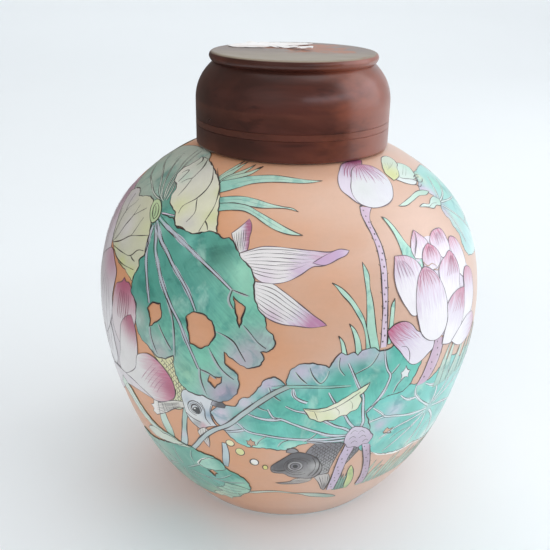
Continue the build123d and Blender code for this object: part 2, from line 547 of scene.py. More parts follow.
def enamel(name, mottle, streak, pool=0.0, halo=0.0):
    """Fused enamel painted in watery washes. streak breaks the edge between tint and wash into
    brush strokes, pool gathers the colour in darker and paler patches, and halo puts pale lilac
    before the wash."""
    n = Nodes(name, ENAMEL_ROUGH, coat=1.0)
    place = n.object_place()
    strokes = n.noise(n.attribute("grain", "Vector"), 1.0, 2.0, 0.6, (1.15, 0.09, 1.0))
    swing = n.math("MULTIPLY", n.math("SUBTRACT", strokes, 0.5), streak)
    reach = n.math("ADD", n.attribute("blush", "Fac"), swing)
    colour = n.attribute("tint", "Color")
    if halo:
        colour = n.over(colour, n.ramp(reach, 0.0, 0.5), halo, "c3a9cf")
    begin, end = (0.35, 1.05) if halo else (0.1, 0.9)
    colour = n.mix(n.ramp(reach, begin, end), colour, n.attribute("wash", "Color"))
    if pool:
        dark = n.ramp(n.noise(place, 85.0, 4.0, 0.62, distortion=0.8), 0.5, 0.68)
        colour = n.over(colour, dark, pool, (0.5, 0.74, 0.76), "MULTIPLY")
        light = n.ramp(n.noise(place, 60.0, 4.0, 0.62, (1.3, 1.3, 0.8), 0.5), 0.54, 0.72)
        colour = n.over(colour, light, pool * 0.55, "b4dccd")
    colour = n.shade(colour, mottle, n.noise(place, 150.0, 4.0, 0.6, distortion=0.3))
    colour = n.shade(colour, mottle * 0.22, strokes)
    colour = n.shade(colour, 0.06, n.noise(place, 1400.0, 2.0))
    n.bump(n.noise(place, 420.0, 3.0), 0.25, 0.00008)
    return n.done(colour)


def ink_material():
    """Enamel lines in the colour their mesh gives them, browner where the brush ran dry."""
    n = Nodes("ink", ENAMEL_ROUGH, coat=1.0)
    place = n.object_place()
    thin = n.ramp(n.noise(place, 260.0, 2.0), 0.5, 0.8)
    multiplied = n.math("MULTIPLY", thin, 0.34)
    colour = n.mix(multiplied, n.attribute("tint", "Color"), "8a7668")
    return n.done(n.shade(colour, 0.3, n.noise(place, 900.0, 2.0)))


def ground_material():
    """Coral enamel laid on with a wide brush: faint slanting strokes and soft clouds. Its turn from
    orange at the left to a paler pink at the right is painted light: the window's haze on that side."""
    n = Nodes("coral_ground", ENAMEL_ROUGH, coat=1.0)
    place = n.object_place()
    x = n.split(place)[0]
    # Painted light: paler pink towards +X stands in for the window's haze on the right side.
    painted_lit_side = n.math("MULTIPLY_ADD", n.noise(place, 20.0, 4.0, 0.6), 0.16, x)
    colour = n.mix(n.ramp(painted_lit_side, 0.0, 0.15), "dc996a", "d7b09a")
    strokes = n.noise(place, 60.0, 3.0, 0.6, (1.0, 1.0, 4.0), 0.8)
    colour = n.shade(colour, 0.1, strokes)
    colour = n.shade(colour, 0.06, n.noise(place, 700.0, 3.0))
    n.bump(n.noise(place, 300.0, 3.0), 0.25, 0.00008)
    return n.done(colour)


def porcelain_material():
    """Grey-white glazed porcelain with pinholes and faint iron specks."""
    n = Nodes("glazed_porcelain", 0.16, 0.5, 0.5)
    place = n.object_place()
    clouds = n.ramp(n.noise(place, 30.0, 4.0), 0.3, 0.7)
    colour = n.mix(clouds, "e6e6df", "dcdfdb")
    specks = n.ramp(n.noise(place, 520.0, 2.0), 0.74, 0.8)
    colour = n.over(colour, specks, 0.5, "8b7458")
    n.bump(n.noise(place, 160.0, 3.0), 0.3, 0.0001)
    return n.done(colour)


def wood_material():
    """Waxed rosewood: quiet dark figure along the plank and fine pores. Painted light: the side towards
    +X is lit orange-brown and the side towards -X shaded darker, and convex edges catch a painted
    highlight over rubbed wear. The flat top is paler grey-brown, partly dust and partly painted sheen,
    with orange patches towards the back that are partly wear and partly painted reflection."""
    n = Nodes("waxed_rosewood", 0.3, 0.7, 0.2)
    place = n.object_place()
    figure = n.noise(place, 10.0, 4.0, 0.6, (1.0, 4.5, 6.0), 0.7)
    colour = n.mix(n.ramp(figure, 0.3, 0.7), "38180f", "5f2f24")
    bands = n.ramp(n.noise(place, 16.0, 3.0, 0.5, (0.7, 8.0, 8.0), 0.6), 0.56, 0.76)
    colour = n.over(colour, bands, 0.4, "2a120e")
    pores = n.noise(place, 240.0, 2.0, 0.5, (0.12, 1.0, 1.0))
    colour = n.over(colour, n.ramp(pores, 0.6, 0.72), 0.6, "2a120d")
    x, y, z = n.split(place)
    # Painted light: orange-brown towards +X, where the window lights the lid, and a darker shade towards -X,
    # its shaded side.
    painted_lit_side = n.math("MULTIPLY_ADD", n.noise(place, 30.0, 4.0, 0.6, (1.0, 1.0, 2.2)), 0.07, x)
    colour = n.over(colour, n.ramp(painted_lit_side, 0.045, 0.075), 0.7, "954c31")
    colour = n.over(colour, n.ramp(n.math("SUBTRACT", 0.04, painted_lit_side), 0.0, 0.04), 0.6, "2b1e1a")
    # Top face: dust with a painted sheen of the bright room seen at grazing, lighter towards the front, and
    # orange patches towards the back that are partly wear and partly painted reflection.
    gap = n.node("ShaderNodeVectorMath", operation="DISTANCE")
    n.link(place, gap.inputs[0])
    gap.inputs[1].default_value = WARM_WEAR_AND_SHEEN
    clouds = n.noise(place, 80.0, 4.0, 0.6)
    far = n.math("MULTIPLY", gap.outputs["Value"], 14.0)
    warm = n.ramp(n.math("SUBTRACT", clouds, far), 0.2, 0.34)
    dust_and_sheen = n.mix(n.ramp(y, 0.01, -0.03), "786c64", "8c8270")
    dust_and_sheen = n.mix(warm, dust_and_sheen, "9c6040")
    dust_and_sheen = n.shade(dust_and_sheen, 0.7, n.noise(place, 120.0, 5.0, 0.7, (0.45, 1.4, 1.0)))
    on_top = n.ramp(z, TOP_DUST_AND_SHEEN, TOP_DUST_AND_SHEEN + 0.0004)
    colour = n.mix(on_top, colour, dust_and_sheen)
    # Convex edges turn lighter orange: partly rubbed wear, partly a painted highlight where the bead and
    # groove lips catch the light.
    edge = n.ramp(n.node("ShaderNodeNewGeometry").outputs["Pointiness"], 0.505, 0.56)
    colour = n.over(colour, edge, 0.45, "8f5139")
    wax = n.math("MULTIPLY_ADD", figure, 0.2, 0.22)
    n.link(n.math("ADD", wax, n.math("MULTIPLY", on_top, 0.3)), n.shader.inputs["Roughness"])
    n.shader.inputs["Specular Tint"].default_value = (0.96, 0.74, 0.74, 1.0)
    n.bump(pores, 0.35, 0.00012)
    return n.done(colour)


def paper_material():
    """Old label paper: fibres, foxing and a darker glue stain."""
    n = Nodes("old_paper", 0.8, 0.3)
    place = n.object_place()
    stain = n.ramp(n.noise(place, 60.0, 4.0), 0.42, 0.72)
    colour = n.mix(stain, "efeeee", "ddd3ce")
    fibres = n.noise(place, 900.0, 3.0, 0.6, (1.0, 0.2, 1.0))
    colour = n.shade(colour, 0.16, fibres)
    n.bump(fibres, 0.5, 0.0001)
    return n.done(colour)


# The top face's paler colour is partly dust and partly painted sheen, and its orange patches are partly wear
# and partly painted reflection.
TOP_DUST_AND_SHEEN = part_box("wooden_lid")[1].z - 0.0008     # the lid's flat top lies above this height
WARM_WEAR_AND_SHEEN = (0.008, 0.012, TOP_DUST_AND_SHEEN)             # middle of the orange patches on the top face
leaf_enamel = enamel("leaf_enamel", 0.36, 0.5, pool=1.0)
petal_enamel = enamel("petal_enamel", 0.1, 1.0, halo=0.42)
pale_enamel = enamel("pale_enamel", 0.18, 0.5)
ink = ink_material()
ground_enamel = ground_material()


# ---- Coral ground -----------------------------------------------------------------------
def ground_wash():
    """Closed enamel skin over the whole wall, from the foot's edge up to the lid."""
    turns, rows = 240, 110
    first, last = GROUND_GAPS[0], wall.climb[-1] - GROUND_GAPS[1]
    climbs = np.linspace(first, last, rows)
    angles = np.arange(turns) * 360 / turns
    piece = Piece("ground_wash", 0.0)
    angle, climb = np.meshgrid(angles, climbs)
    skin, out = wall.at(angle.ravel(), climb.ravel(), GROUND_LIFT)
    under, _ = wall.at(angle.ravel(), climb.ravel(), GROUND_UNDER)
    count = turns * rows
    faces = []
    for row in range(rows - 1):
        for i in range(turns):
            a, b = row * turns + i, row * turns + (i + 1) % turns
            faces += [[a, b, b + turns, a + turns],
                      [b + count, a + count, a + turns + count, b + turns + count]]
    for row, flip in ((0, 1), (rows - 1, -1)):
        for i in range(turns):
            a, b = row * turns + i, row * turns + (i + 1) % turns
            faces.append([b, a, a + count, b + count][::flip])
    piece.add(np.vstack([skin, under]), np.vstack([out, -out]), faces, ground_enamel,
              rgb(CORAL), rgb(CORAL), 0.0, np.zeros(3))
    piece.finish()


# ---- Brush habits that several motifs share ------------------------------------------------
RIB_TIP = 0.5                                # a rib's end is this share of its width
RIB_EDGES = ((1, 1.15), (-1, 0.9))           # sides of a rib and the weight of their ink
BLUSH_REACH = 0.26                           # the colour at a petal's tip, as a share of its length
BLUSH_DROP, BLUSH_STRENGTH = 0.3, 0.9
PINK_FADE = (-0.2, 0.75)                     # a petal turns pink between these shares of its length
DOT = (0.16, 0.3)                            # dot on a stalk, in degrees and millimetres
DOT_GAP = 3                                  # and the millimetres between one and the next
SPUR, SPUR_RISE = 0.55, 0.7                  # prickle at its side


def between(a, b, share):
    """The line that lies that share of the way from line a to line b."""
    return np.asarray(a, float) * (1 - share) + np.asarray(b, float) * share


def rays(piece, first, last, count, width, colour=None):
    """Fin or petal rays: lines spread evenly from first to last."""
    for i in range(count):
        piece.line(between(first, last, i / max(count - 1, 1)), width, 0.8, colour=colour)


def double_rib(piece, rib, width, tint, edge):
    """A raised leaf rib: a pale band between two dark edges, narrower towards its end."""
    run = np.asarray(rib, float)
    piece.line(run, width, 0.6, colour=tint)
    across = np.gradient(run, axis=0)
    side = np.column_stack([across[:, 1], -across[:, 0]])
    side /= np.linalg.norm(side, axis=1)[:, None]
    share = np.linspace(1, RIB_TIP, len(run))[:, None] * width / 2
    offset = side * share * np.array([1 / degree_at(run), 1])
    for sign, weight in RIB_EDGES:
        piece.line(run + sign * offset, edge * weight, 0.4)


def ribs(piece, runs, width, tint, edge):
    """Raised ribs alike in width, tint and the width of their edges."""
    for rib in runs:
        double_rib(piece, rib, width, tint, edge)


def creases(piece, runs, width, colour, ink_width, shift=0.3):
    """Pale folds with an ink line beside each, shift degrees to the right."""
    for run in runs:
        piece.line(run, width, 0.6, colour=colour)
        piece.line([(angle + shift, climb) for angle, climb in run], ink_width, 0.5)


def oval(centre, across, high, count, turn=0.0):
    """Outline of an oval around a place: across in degrees, high in millimetres, from the angle
    turn on."""
    angles = np.arange(count) * 2 * math.pi / count + turn
    return [(centre[0] + across * math.cos(t), centre[1] + high * math.sin(t)) for t in angles]


def blade(piece, tip, one_side, other_side, tint, wash, ink_width, edge=None):
    """A grass blade. The sides run from the tip down to the base."""
    outline = [tip, *one_side, *reversed(other_side)]
    base = between(one_side[-1], other_side[-1], 0.5)
    piece.area(outline, tint, wash, (tip, base), (0.1, 1.2), ink=ink_width, edge=edge)
    if edge is None:
        piece.line([tip, between(tip, one_side[0], 0.5)], 0.8, 0.5)


def stem(piece, left, right, tint, wash):
    """A prickly stalk between its two edges, which run the same way."""
    piece.area([*left, *reversed(right)], tint, wash, (left[0], right[0]), (0.2, 1.6),
               ink=0, material=pale_enamel)
    edges = [smooth_run(side, 1.0) for side in (left, right)]
    for edge in (left, right):
        piece.line(edge, 0.5)
    length = min(len(edge) for edge in edges)
    for i, at in enumerate(range(2, length - 2, DOT_GAP)):
        shares = [at / (length - 1) * (len(edge) - 1) for edge in edges]
        a, b = (edge[int(share)] for edge, share in zip(edges, shares))
        dot = between(a, b, 0.3 + 0.4 * ((i * 7) % 5) / 4)
        piece.line(oval(dot, *DOT, 6), 0.3, closed=True)
        side, away = (a, a - b) if i % 2 else (b, b - a)
        spur = side + away / max(np.linalg.norm(away), 0.1) * SPUR + np.array([0, SPUR_RISE])
        piece.line([side, spur], 0.4, 0.5)


def star(centre, across, high, points=5):
    """Ragged star round a place: across in degrees, high in millimetres."""
    outline = []
    for i in range(2 * points):
        turn, reach = math.pi * i / points, 0.5 if i % 2 else 1.0 - 0.15 * (i % 3)
        angle, climb = centre[0] + across * reach * math.sin(turn), centre[1] + high * reach * math.cos(turn)
        outline.append((angle, climb))
    return outline


def petals(piece, shapes, material=None, blush=None):
    """Petals as (outline, base, tip, share where the pink begins), with a tint if it isn't PETAL.
    blush is the colour that gathers at the tips."""
    for outline, base, tip, begin, *tint in shapes:
        reach = BLUSH_REACH * math.dist(base, tip)
        spots = [(tip[0], tip[1] - BLUSH_DROP * reach, reach, blush, BLUSH_STRENGTH)] if blush else ()
        piece.area(outline, *(tint or [PETAL]), MAGENTA, (base, tip), [begin + share for share in PINK_FADE],
                   spots, ink=0.4, material=material or petal_enamel, edge=PETAL_EDGE)


def scales(piece, outline, step, width=0.35):
    """Rows of overlapping fish scales, as arcs that open to the left, inside the outline."""
    loop = np.asarray(outline, float)
    low, high = loop.min(0), loop.max(0)
    across = step / degree_at(loop)
    row, climb = 0, low[1]
    while climb < high[1]:
        angle = low[0] + (across / 2 if row % 2 else 0)
        while angle < high[0]:
            bend = [(angle + across * 0.5 * math.sin(t), climb + step * 0.5 * math.cos(t))
                    for t in (0.2, 0.9, 1.57, 2.2, 2.9)]
            if inside(np.array(bend), loop).all():
                piece.line(bend, width)
            angle += across
        climb += step * 0.5
        row += 1


# ---- The pond scene: each motif is one function, and makes one piece or more ----------------
def upper_leaf(side):
    """Large torn lotus leaf that hangs from the shoulder: two folded cream lobes, a ribbed
    teal part with holes, and a grey-green part over the shoulder."""
    p = Piece("upper_leaf", 0.36, side)
    p.area(
        [(-57, 222), (-51, 219), (-47, 208), (-42, 196), (-39, 184), (-42, 178), (-47, 174), (-60, 178),
         (-67, 180), (-72, 182), (-77, 182), (-84, 187), (-95, 196), (-95, 210), (-88, 215), (-80, 219),
         (-70, 221.5), (-60, 222)], "a3b3a4", "b9c3b4", ((-48, 182), (-72, 214)), (0.1, 1.1), ink=0.35,
        spots=[(-48, 190, 8, "4f9786", 0.95), (-43, 182, 7, "4fa592", 0.95), (-60, 198, 8, "729f91", 0.85),
               (-78, 196, 9, "8fb8a6", 0.7), (-54, 214, 6, "b9bdb0", 0.8)])
    ribs(p, [
        [(-50, 187), (-56, 190), (-62, 195), (-70, 199.5), (-78, 202), (-90, 206)],
        [(-52, 187), (-58, 188), (-66, 191), (-75, 193), (-86, 197)],
        [(-51.5, 187.5), (-57, 193), (-62, 199), (-68, 206), (-74, 213)],
        [(-50.5, 188), (-55, 195), (-59, 203), (-64, 212), (-68, 219)],
        [(-50, 188), (-53, 195), (-57, 204), (-61, 213), (-64, 220)],
        [(-49, 188), (-50.5, 194), (-54, 200), (-57, 206)],
    ], 1.0, "c2cbbf", 0.34)
    double_rib(p, [(-46.5, 181.5), (-43.5, 182), (-40, 182.5)], 1.0, PALE_LILAC, 0.3)
    p.area(
        [(-22.5, 179), (-20.3, 177.2), (-17.5, 177.3), (-15, 173), (-13, 169), (-10.3, 165.5), (-9.2, 162),
         (-8.6, 154), (-7.3, 148.5), (-5.3, 144), (-5.3, 141), (-3.3, 137), (-2.9, 134), (-3.5, 131.5),
         (-6.3, 129.8), (-5.6, 126.5), (-6.3, 124), (-9.8, 121.7), (-12.5, 124), (-15.6, 127.8),
         (-14.7, 121), (-13, 119.5), (-11.8, 112), (-12.5, 108), (-14.8, 103.5), (-18, 101.5), (-22, 103.3),
         (-24, 102.8), (-28.5, 106.5), (-30, 113), (-30.1, 120.5), (-33.5, 117), (-35.5, 116.5), (-39, 120),
         (-42, 122.5), (-44, 128), (-44.2, 132), (-44.8, 139), (-47.3, 142), (-47.4, 147), (-47.3, 150),
         (-46, 155), (-46.7, 157.5), (-45, 162), (-46.5, 170), (-48, 176), (-47, 181), (-43, 181),
         (-39.5, 180.5), (-38, 178.3), (-33, 177.3), (-30.5, 176.5), (-24.5, 179.3)], TEAL, MINT,
        ((-46, 176), (-12, 128)), (0.2, 1.4), ragged=0.3, ink=0.56,
        spots=[(-7, 131, 9, "a4a3ab", 0.9), (-4.5, 136, 3.5, "8b7f93", 0.8), (-16, 106, 11, "b3a3b6", 1.0),
               (-13.5, 110, 4, "8e7f97", 0.7), (-11, 125, 8, "b6b0ba", 1.0), (-35, 120, 9, "b3b6b4", 0.95),
               (-43, 132, 6, "aebab2", 0.9), (-44, 174, 6, "8ac2ae", 0.8), (-12, 164, 6, "8ed2b5", 0.9),
               (-11, 156, 5, "8ed2b5", 0.8), (-20, 170, 6, DEEP_TEAL, 0.75), (-27, 152, 7, "3f9488", 0.6),
               (-40, 148, 6, "3f9a86", 0.7), (-22, 148, 7, "58aea2", 0.6), (-26, 113, 6, "8fc4a6", 0.9),
               (-21, 122, 5, "7ccbae", 0.8), (-33, 131, 5, "70c2a5", 0.7), (-30, 172, 5, "79c4b4", 0.7)],
        holes=[[(-39.7, 138.3), (-38, 142.3), (-36.5, 142), (-35.2, 142.8), (-34.2, 136.7), (-36.5, 133),
                (-38.7, 130), (-38.3, 134)],
               [(-26.6, 140.2), (-25.2, 143), (-22, 143.5), (-19.2, 140.8), (-18, 136), (-18.3, 134),
                (-20, 129.5), (-22, 127.3), (-25, 128.5)],
               [(-14, 153), (-12.3, 150.5), (-10.6, 149.2), (-11.2, 145), (-11.9, 139.5), (-12.9, 145)],
               [(-20.2, 111.8), (-19.4, 116), (-18.2, 114.5), (-16.3, 115.5), (-16.5, 112.5),
                (-18.3, 109)]])
    ribs(p, [
        [(-46.5, 179.3), (-42, 177), (-36, 174), (-32, 171.5), (-26, 167), (-22, 163.5), (-19, 160.5),
         (-14.8, 155.6)],
        [(-46.5, 177.5), (-43, 173), (-40, 169), (-37, 166), (-33, 160.5), (-29, 155), (-26.5, 150.5),
         (-24, 143.8)],
        [(-46.5, 176), (-43.5, 171), (-41, 164), (-39, 160), (-36.5, 154), (-34, 148.5), (-31, 142),
         (-28.5, 137), (-26.5, 130.5), (-24.5, 124), (-22.6, 117)],
        [(-46.8, 175), (-45.5, 166), (-44, 160), (-42, 153), (-40, 145), (-39.2, 141)],
    ], 2.2, "b7bcc6", 0.46)
    creases(p, [
        [(-14.8, 155.6), (-12.5, 154.6), (-10.2, 153.7)], [(-14.8, 155.6), (-15.3, 151), (-14, 147.5)],
        [(-33.5, 146), (-31, 138), (-30.2, 131), (-30, 120)],
        [(-38.5, 130), (-38.2, 126), (-37, 121), (-36, 118)], [(-35.5, 133), (-33.5, 128), (-31, 122.5)],
        [(-18, 136.5), (-16, 135.5), (-13.5, 133), (-12, 129), (-10.5, 124.5)],
        [(-11.2, 141), (-9.5, 138), (-7.5, 134), (-5.5, 131.5)],
        [(-20, 128.5), (-18.5, 124), (-17, 120), (-13.5, 115)], [(-22.5, 118), (-22.5, 113), (-21, 104)],
        [(-22.5, 117), (-20, 116), (-18, 113.8)],
    ], 1.1, "a9b4b6", 0.52, 0.4)
    p.finish()

    p = Piece("upper_leaf_lobes", 0.45, side, pale_enamel)
    p.area(
        [(-48.5, 175), (-52, 179.5), (-54.5, 184.5), (-60, 185.7), (-63.5, 184), (-66.5, 182.8),
         (-69, 184.5), (-72, 185), (-75, 183.5), (-78, 180), (-74, 172), (-70, 165), (-66.5, 157.5),
         (-64.5, 156), (-60, 153), (-56, 151), (-52, 150), (-49.5, 148.3), (-47.4, 147), (-47.3, 150),
         (-46, 155), (-46.7, 157.5), (-45.2, 160.5), (-46, 166), (-46.5, 170)], "cccbae", "cbc9b9",
        ((-50, 180), (-68, 160)), (0.0, 1.0), ragged=0.25, ink=0.5,
        spots=[(-55, 152, 4, YELLOW_GREEN, 0.9), (-49, 150, 4, YELLOW_GREEN, 0.9),
               (-62, 155, 4, YELLOW_GREEN, 0.7), (-49, 172, 5, "d3d7a4", 0.5), (-72, 180, 8, "cbc3cc", 0.7),
               (-60, 168, 7, "d9d2d2", 0.7)])
    p.lines([
        [(-62, 154.5), (-58, 152.3), (-54, 151.7), (-50.5, 152), (-48, 152.2)],
        [(-66, 156.5), (-60, 160.5), (-55, 165.5), (-51, 167.5), (-46.5, 169.7)],
        [(-55, 165.5), (-54.2, 169), (-53.8, 173), (-53.5, 176)],
        [(-64, 155.8), (-60, 156.2), (-56, 156.5), (-51.3, 157.5), (-48.5, 161.5), (-46, 162.3)],
        [(-51.3, 157.5), (-50.5, 156.8), (-48.5, 156)],
        [(-66, 157), (-63.5, 161), (-61.5, 168), (-60, 174), (-60.5, 180)],
        [(-60, 174), (-57.5, 177.5), (-55.3, 180.5)],
        [(-66.5, 158), (-67, 165), (-66.8, 175), (-64.8, 179), (-64.7, 181.5)],
        [(-67, 158), (-70, 166), (-72, 172)], [(-66.8, 172), (-69, 176), (-71, 182)],
    ], 0.54, 0.5, colour="38322c")
    p.area(
        [(-56, 217), (-50, 217), (-45, 215), (-40, 212.5), (-36, 209.5), (-32, 205.8), (-29, 201),
         (-26.5, 195), (-25, 190), (-24, 186), (-22.5, 179), (-24.5, 179.3), (-27.5, 178), (-30.5, 176.5),
         (-35.5, 178.2), (-38, 178.3), (-39.5, 181), (-41, 184), (-44, 186), (-46, 187.5), (-47.5, 189.5),
         (-48.4, 192), (-49.5, 196), (-51, 197.3), (-54.5, 199), (-56, 201), (-57.5, 204), (-57.5, 207),
         (-56, 210), (-55.5, 214)], "dcdac0", "d8d5c9", ((-30, 185), (-48, 212)), (0.0, 1.0), ragged=0.25,
        ink=0.52,
        spots=[(-50, 203, 4, "bcd0c0", 0.8), (-26, 186, 4, YELLOW_GREEN, 0.6),
               (-41, 188, 5, YELLOW_GREEN, 0.5), (-50, 214, 6, SAGE, 0.6), (-28, 200, 3, YELLOW_GREEN, 0.6),
               (-34, 181, 4, "cdc8c6", 0.7)])
    p.lines([
        [(-46, 216), (-41, 213), (-37.5, 209), (-35.3, 205), (-34.7, 200), (-36, 194), (-39.7, 187),
         (-39.3, 184)], [(-36, 194), (-34.8, 191), (-33.3, 187), (-34.5, 181)],
        [(-38, 213), (-33, 207), (-30, 203), (-28.3, 198), (-27.3, 192), (-27.9, 183.5), (-28.5, 178)],
        [(-27.9, 183.5), (-26.5, 181.5), (-25.8, 179.5)],
        [(-50, 217), (-46.3, 211), (-45.8, 206), (-46, 203.5), (-48, 202), (-49.5, 199)],
        [(-46, 203.5), (-45.3, 200), (-45, 196), (-45.2, 192)], [(-55, 217), (-52, 215), (-51.5, 211)],
        [(-54.8, 204), (-54, 206), (-52.8, 207), (-51.5, 201), (-51.5, 199)],
    ], 0.56, 0.5, colour="2f2a25")
    p.area(
        [(-53.5, 186.6), (-51.3, 186.5), (-49, 184.6), (-47.2, 182), (-46.4, 179), (-46.8, 176.6),
         (-47.8, 175.4), (-49.2, 176.1), (-51, 178), (-52.6, 180.2), (-54, 183), (-54.6, 185.2)], "bccfa0",
        ink=0.5, spots=[(-49.4, 179.5, 2.6, "9dbb8c", 0.9)])
    p.line(
        [(-52.3, 184.9), (-50.2, 184), (-48.4, 181.6), (-47.6, 178.8), (-48.2, 177.4), (-49.9, 178.8),
         (-51.4, 181), (-52.4, 183.2)], 0.42, closed=True)
    p.line([(-51.6, 183.4), (-50, 181.6), (-48.8, 178.8)], 0.36)
    p.finish()


def shoulder_grass(side):
    """Grass over the shoulder, and three long curled blades that reach towards the bud."""
    p = Piece("shoulder_grass", 0.09, side)
    for tip, base in (((-27.5, 222), -35), ((-25, 222), -34), ((-19.5, 220.5), -32), ((-15, 219.5), -31)):
        left = [between(tip, (base, 200), 0.3) + np.array([-0.9, 1.0]), (base + 1, 208), (base - 1, 200)]
        right = [between(tip, (base, 200), 0.3) + np.array([0.6, -0.6]), (base + 4, 207), (base + 2, 199)]
        blade(p, tip, left, right, "bcd3bd", "7fb39f", 0.34)
    for tip, one, other in (
        ((14.2, 210.2),
         [(8, 211), (3, 212), (-2, 213), (-8, 213.7), (-14, 213), (-20, 211.5), (-25, 209), (-31, 206)],
         [(7, 209), (0, 209.2), (-6, 209.3), (-12, 208.5), (-17, 207), (-21, 204.5), (-26, 201),
          (-31, 198)]),
        ((2.8, 192.8),
         [(1, 194.5), (-2, 195.2), (-7, 196.5), (-12, 198.3), (-18, 199.3), (-23, 198.5), (-30, 195.5)],
         [(-1, 194.3), (-5, 194.4), (-10, 194), (-15, 194.5), (-20, 195.3), (-28, 192.5)]),
        ((4, 181), [(2, 182.3), (-1, 184.5), (-6, 188.5), (-11, 192), (-15, 194.5), (-20, 195), (-28, 193)],
         [(0, 181.3), (-4, 183), (-8, 186), (-12, 189.5), (-16, 191.5), (-20, 191.3), (-28, 188)]),
    ):
        blade(p, tip, one, other, "bcdccb", "85bfae", 0.36)
        p.line([between(a, b, 0.5) for a, b in zip(one[1:-1], other[1:])], 0.24, 0.6, colour="7fa79b")
    p.finish()


def goldfish_tail(side):
    """The goldfish's tail fins, above the leaf's right edge."""
    p = Piece("goldfish_tail", 0.12, side, petal_enamel, PETAL_EDGE)
    p.area(
        [(-17.8, 180), (-16.5, 182), (-15, 184.6), (-13.4, 188), (-12.2, 185.5), (-11.8, 182), (-12, 179),
         (-11.8, 176), (-12.2, 172.5), (-14.2, 171.5), (-15.2, 174), (-16.5, 176.5)], "e6e3df", "a85c80",
        ((-16.5, 178), (-11.3, 180)), (0.3, 0.75), ink=0.36)
    rays(p, [(-14.8, 173), (-16.2, 177), (-17, 180)], [(-13.2, 172.5), (-13.1, 177), (-13.6, 183)], 6, 0.24)
    p.area(
        [(-14, 171.5), (-11, 173.5), (-8, 175.2), (-4, 175.6), (1, 175), (7, 174), (12, 173.3),
         (14.5, 174.2), (17.3, 173.2), (16.5, 171.7), (14, 170.2), (9, 167.3), (7, 167.2), (3, 163.5),
         (0, 161), (-3, 159.8), (-6, 159.6), (-9, 162), (-10.3, 165.5), (-11.5, 167.5), (-13.5, 169.5)],
        "e9e4e4", "cfa3c0", ((-10, 172), (9, 165)), (0.45, 1.1), ink=0.4,
        spots=[(3, 165, 4, "c79cc0", 0.6), (-6, 161.5, 4, "d9c2d8", 0.6)])
    rays(p, [(-13, 171.5), (-8, 174), (-3, 174.4), (6, 173.2)],
        [(-10.5, 164.3), (-6, 162.5), (-3, 162), (0, 163)], 8, 0.22)
    rays(p, [(-2, 173.6), (3, 172.6), (8, 171.6)], [(-4, 165), (1, 166), (5, 168.2)], 4, 0.2, "7d6a7c")
    p.area(
        [(6.5, 168.7), (9, 171), (12, 173), (14.5, 174.2), (17.3, 173.3), (16.5, 171.7), (14, 170.1),
         (9.5, 167.6)], "c9a6c8", "d9c3d9", ((7, 169), (17, 173)), ink=0.36)
    p.area(
        [(-8.7, 160), (-6, 159.8), (-4, 159.5), (-2, 157.5), (1, 154), (4, 150), (6.5, 146.5), (9, 143.3),
         (9.8, 142), (6, 141.2), (2, 142), (-1, 142.5), (-5, 145), (-8, 149.5), (-8.7, 153)], "e8e4e3",
        "bf83a8", ((-6, 155), (4, 142)), (0.55, 1.1), ink=0.4, spots=[(-4, 145, 4, "cfa6c6", 0.6)])
    rays(p, [(-8.4, 159), (-4, 157.5), (1, 152), (6, 146)],
        [(-8, 150.5), (-6, 147.5), (-3, 145), (-1, 143.6)], 7, 0.24)
    p.finish()


